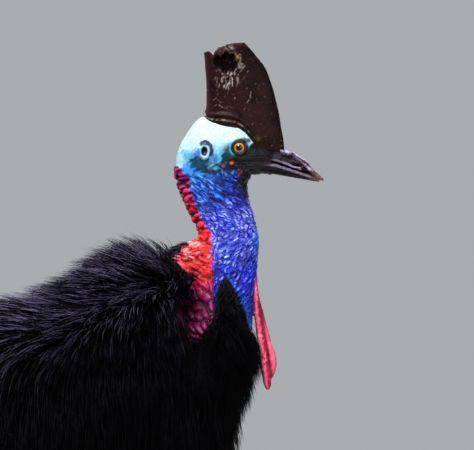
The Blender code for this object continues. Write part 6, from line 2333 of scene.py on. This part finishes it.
class MakeLegs(bpy.types.Operator):
    """Make the scaled legs and toes"""

    bl_idname = "cassowary.legs"
    bl_label = "Legs"

    def execute(self, context):
        """Build the legs."""
        finish = leg_finish()
        for side, word in RIGHT_LEFT:
            leg = make_leg(side, hues_now())
            shade(leg)
            place(leg, f"leg_{word}", f"tarsus_{word}", f"toe_middle_{word}", f"toe_outer_{word}",
                  f"toe_inner_{word}", slot="leg_scale")
            leg.data.materials.append(finish)
        return {"FINISHED"}


class MakeClaws(bpy.types.Operator):
    """Make the claws"""

    bl_idname = "cassowary.claws"
    bl_label = "Claws"

    def execute(self, context):
        """Build the claws."""
        finish = claw_finish()
        for side, word in RIGHT_LEFT:
            for kind in TOES:
                claw = make_claw(kind, side)
                shade(claw)
                place(claw, f"nail_{kind}_{word}", f"claw_{kind}_{word}", slot="claw_horn")
                claw.data.materials.append(finish)
        return {"FINISHED"}


class MakeCoat(bpy.types.Operator):
    """Make the coat of the body, the neck's root and the thighs"""

    bl_idname = "cassowary.coat"
    bl_label = "Coat"

    def execute(self, context):
        """Build the coat."""
        sizes, hues = sizes_now(), hues_now()
        finish = coat_finish()
        core = [(x, low, high, half, TORSO_WIDE) for x, low, high, half in smooth(TORSO, dense(TORSO, 0.02))]
        parts = [loft("core", upright_rings(core, 2.0, 64)), loft("neck", level_rings(NECK, 3.0, 64))]
        lie = Lie(parts, 0.006)
        pieces = body_coats(sizes, hues, lie) + neck_coats(sizes, hues, lie)
        pieces += nape_coats(sizes, hues) + thigh_coats(sizes, hues)
        for name, piece in pieces:
            place(piece, name, slot="plumage")
            piece.data.materials.append(finish)
        return {"FINISHED"}


class MakeStage(bpy.types.Operator):
    """Make the floor, lights and camera"""

    bl_idname = "cassowary.stage"
    bl_label = "Stage"

    def execute(self, context):
        """Build the stage."""
        make_stage(sizes_now())
        return {"FINISHED"}


OPERATORS = (MakeSkin, MakeCasque, MakeBill, MakeEyes, MakeWings, MakeLegs, MakeClaws, MakeCoat, MakeStage)


class CassowaryPanel(bpy.types.Panel):
    """Sidebar list of the cassowary's pieces"""

    bl_idname = "VIEW3D_PT_cassowary"
    bl_label = "Cassowary"
    bl_space_type = "VIEW_3D"
    bl_region_type = "UI"
    bl_category = "Cassowary"

    def draw(self, context):
        """List the operators and the sizes."""
        for operator in OPERATORS:
            self.layout.operator(operator.bl_idname)
        for key in CassowarySizes.__annotations__:
            self.layout.prop(context.scene.cassowary_sizes, key)


CLASSES = (CassowarySizes, CassowaryHues) + OPERATORS + (CassowaryPanel,)


def register():
    """Register the classes and settings."""
    for one in CLASSES:
        bpy.utils.register_class(one)
    bpy.types.Scene.cassowary_sizes = bpy.props.PointerProperty(type=CassowarySizes)
    bpy.types.Scene.cassowary_hues = bpy.props.PointerProperty(type=CassowaryHues)


def unregister():
    """Remove the classes and settings."""
    del bpy.types.Scene.cassowary_sizes
    del bpy.types.Scene.cassowary_hues
    for one in reversed(CLASSES):
        bpy.utils.unregister_class(one)


def main():
    """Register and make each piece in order."""
    register()
    bpy.ops.cassowary.skin()
    bpy.ops.cassowary.casque()
    bpy.ops.cassowary.bill()
    bpy.ops.cassowary.eyes()
    bpy.ops.cassowary.wings()
    bpy.ops.cassowary.legs()
    bpy.ops.cassowary.claws()
    bpy.ops.cassowary.coat()
    bpy.ops.cassowary.stage()


if __name__ == "__main__":
    main()
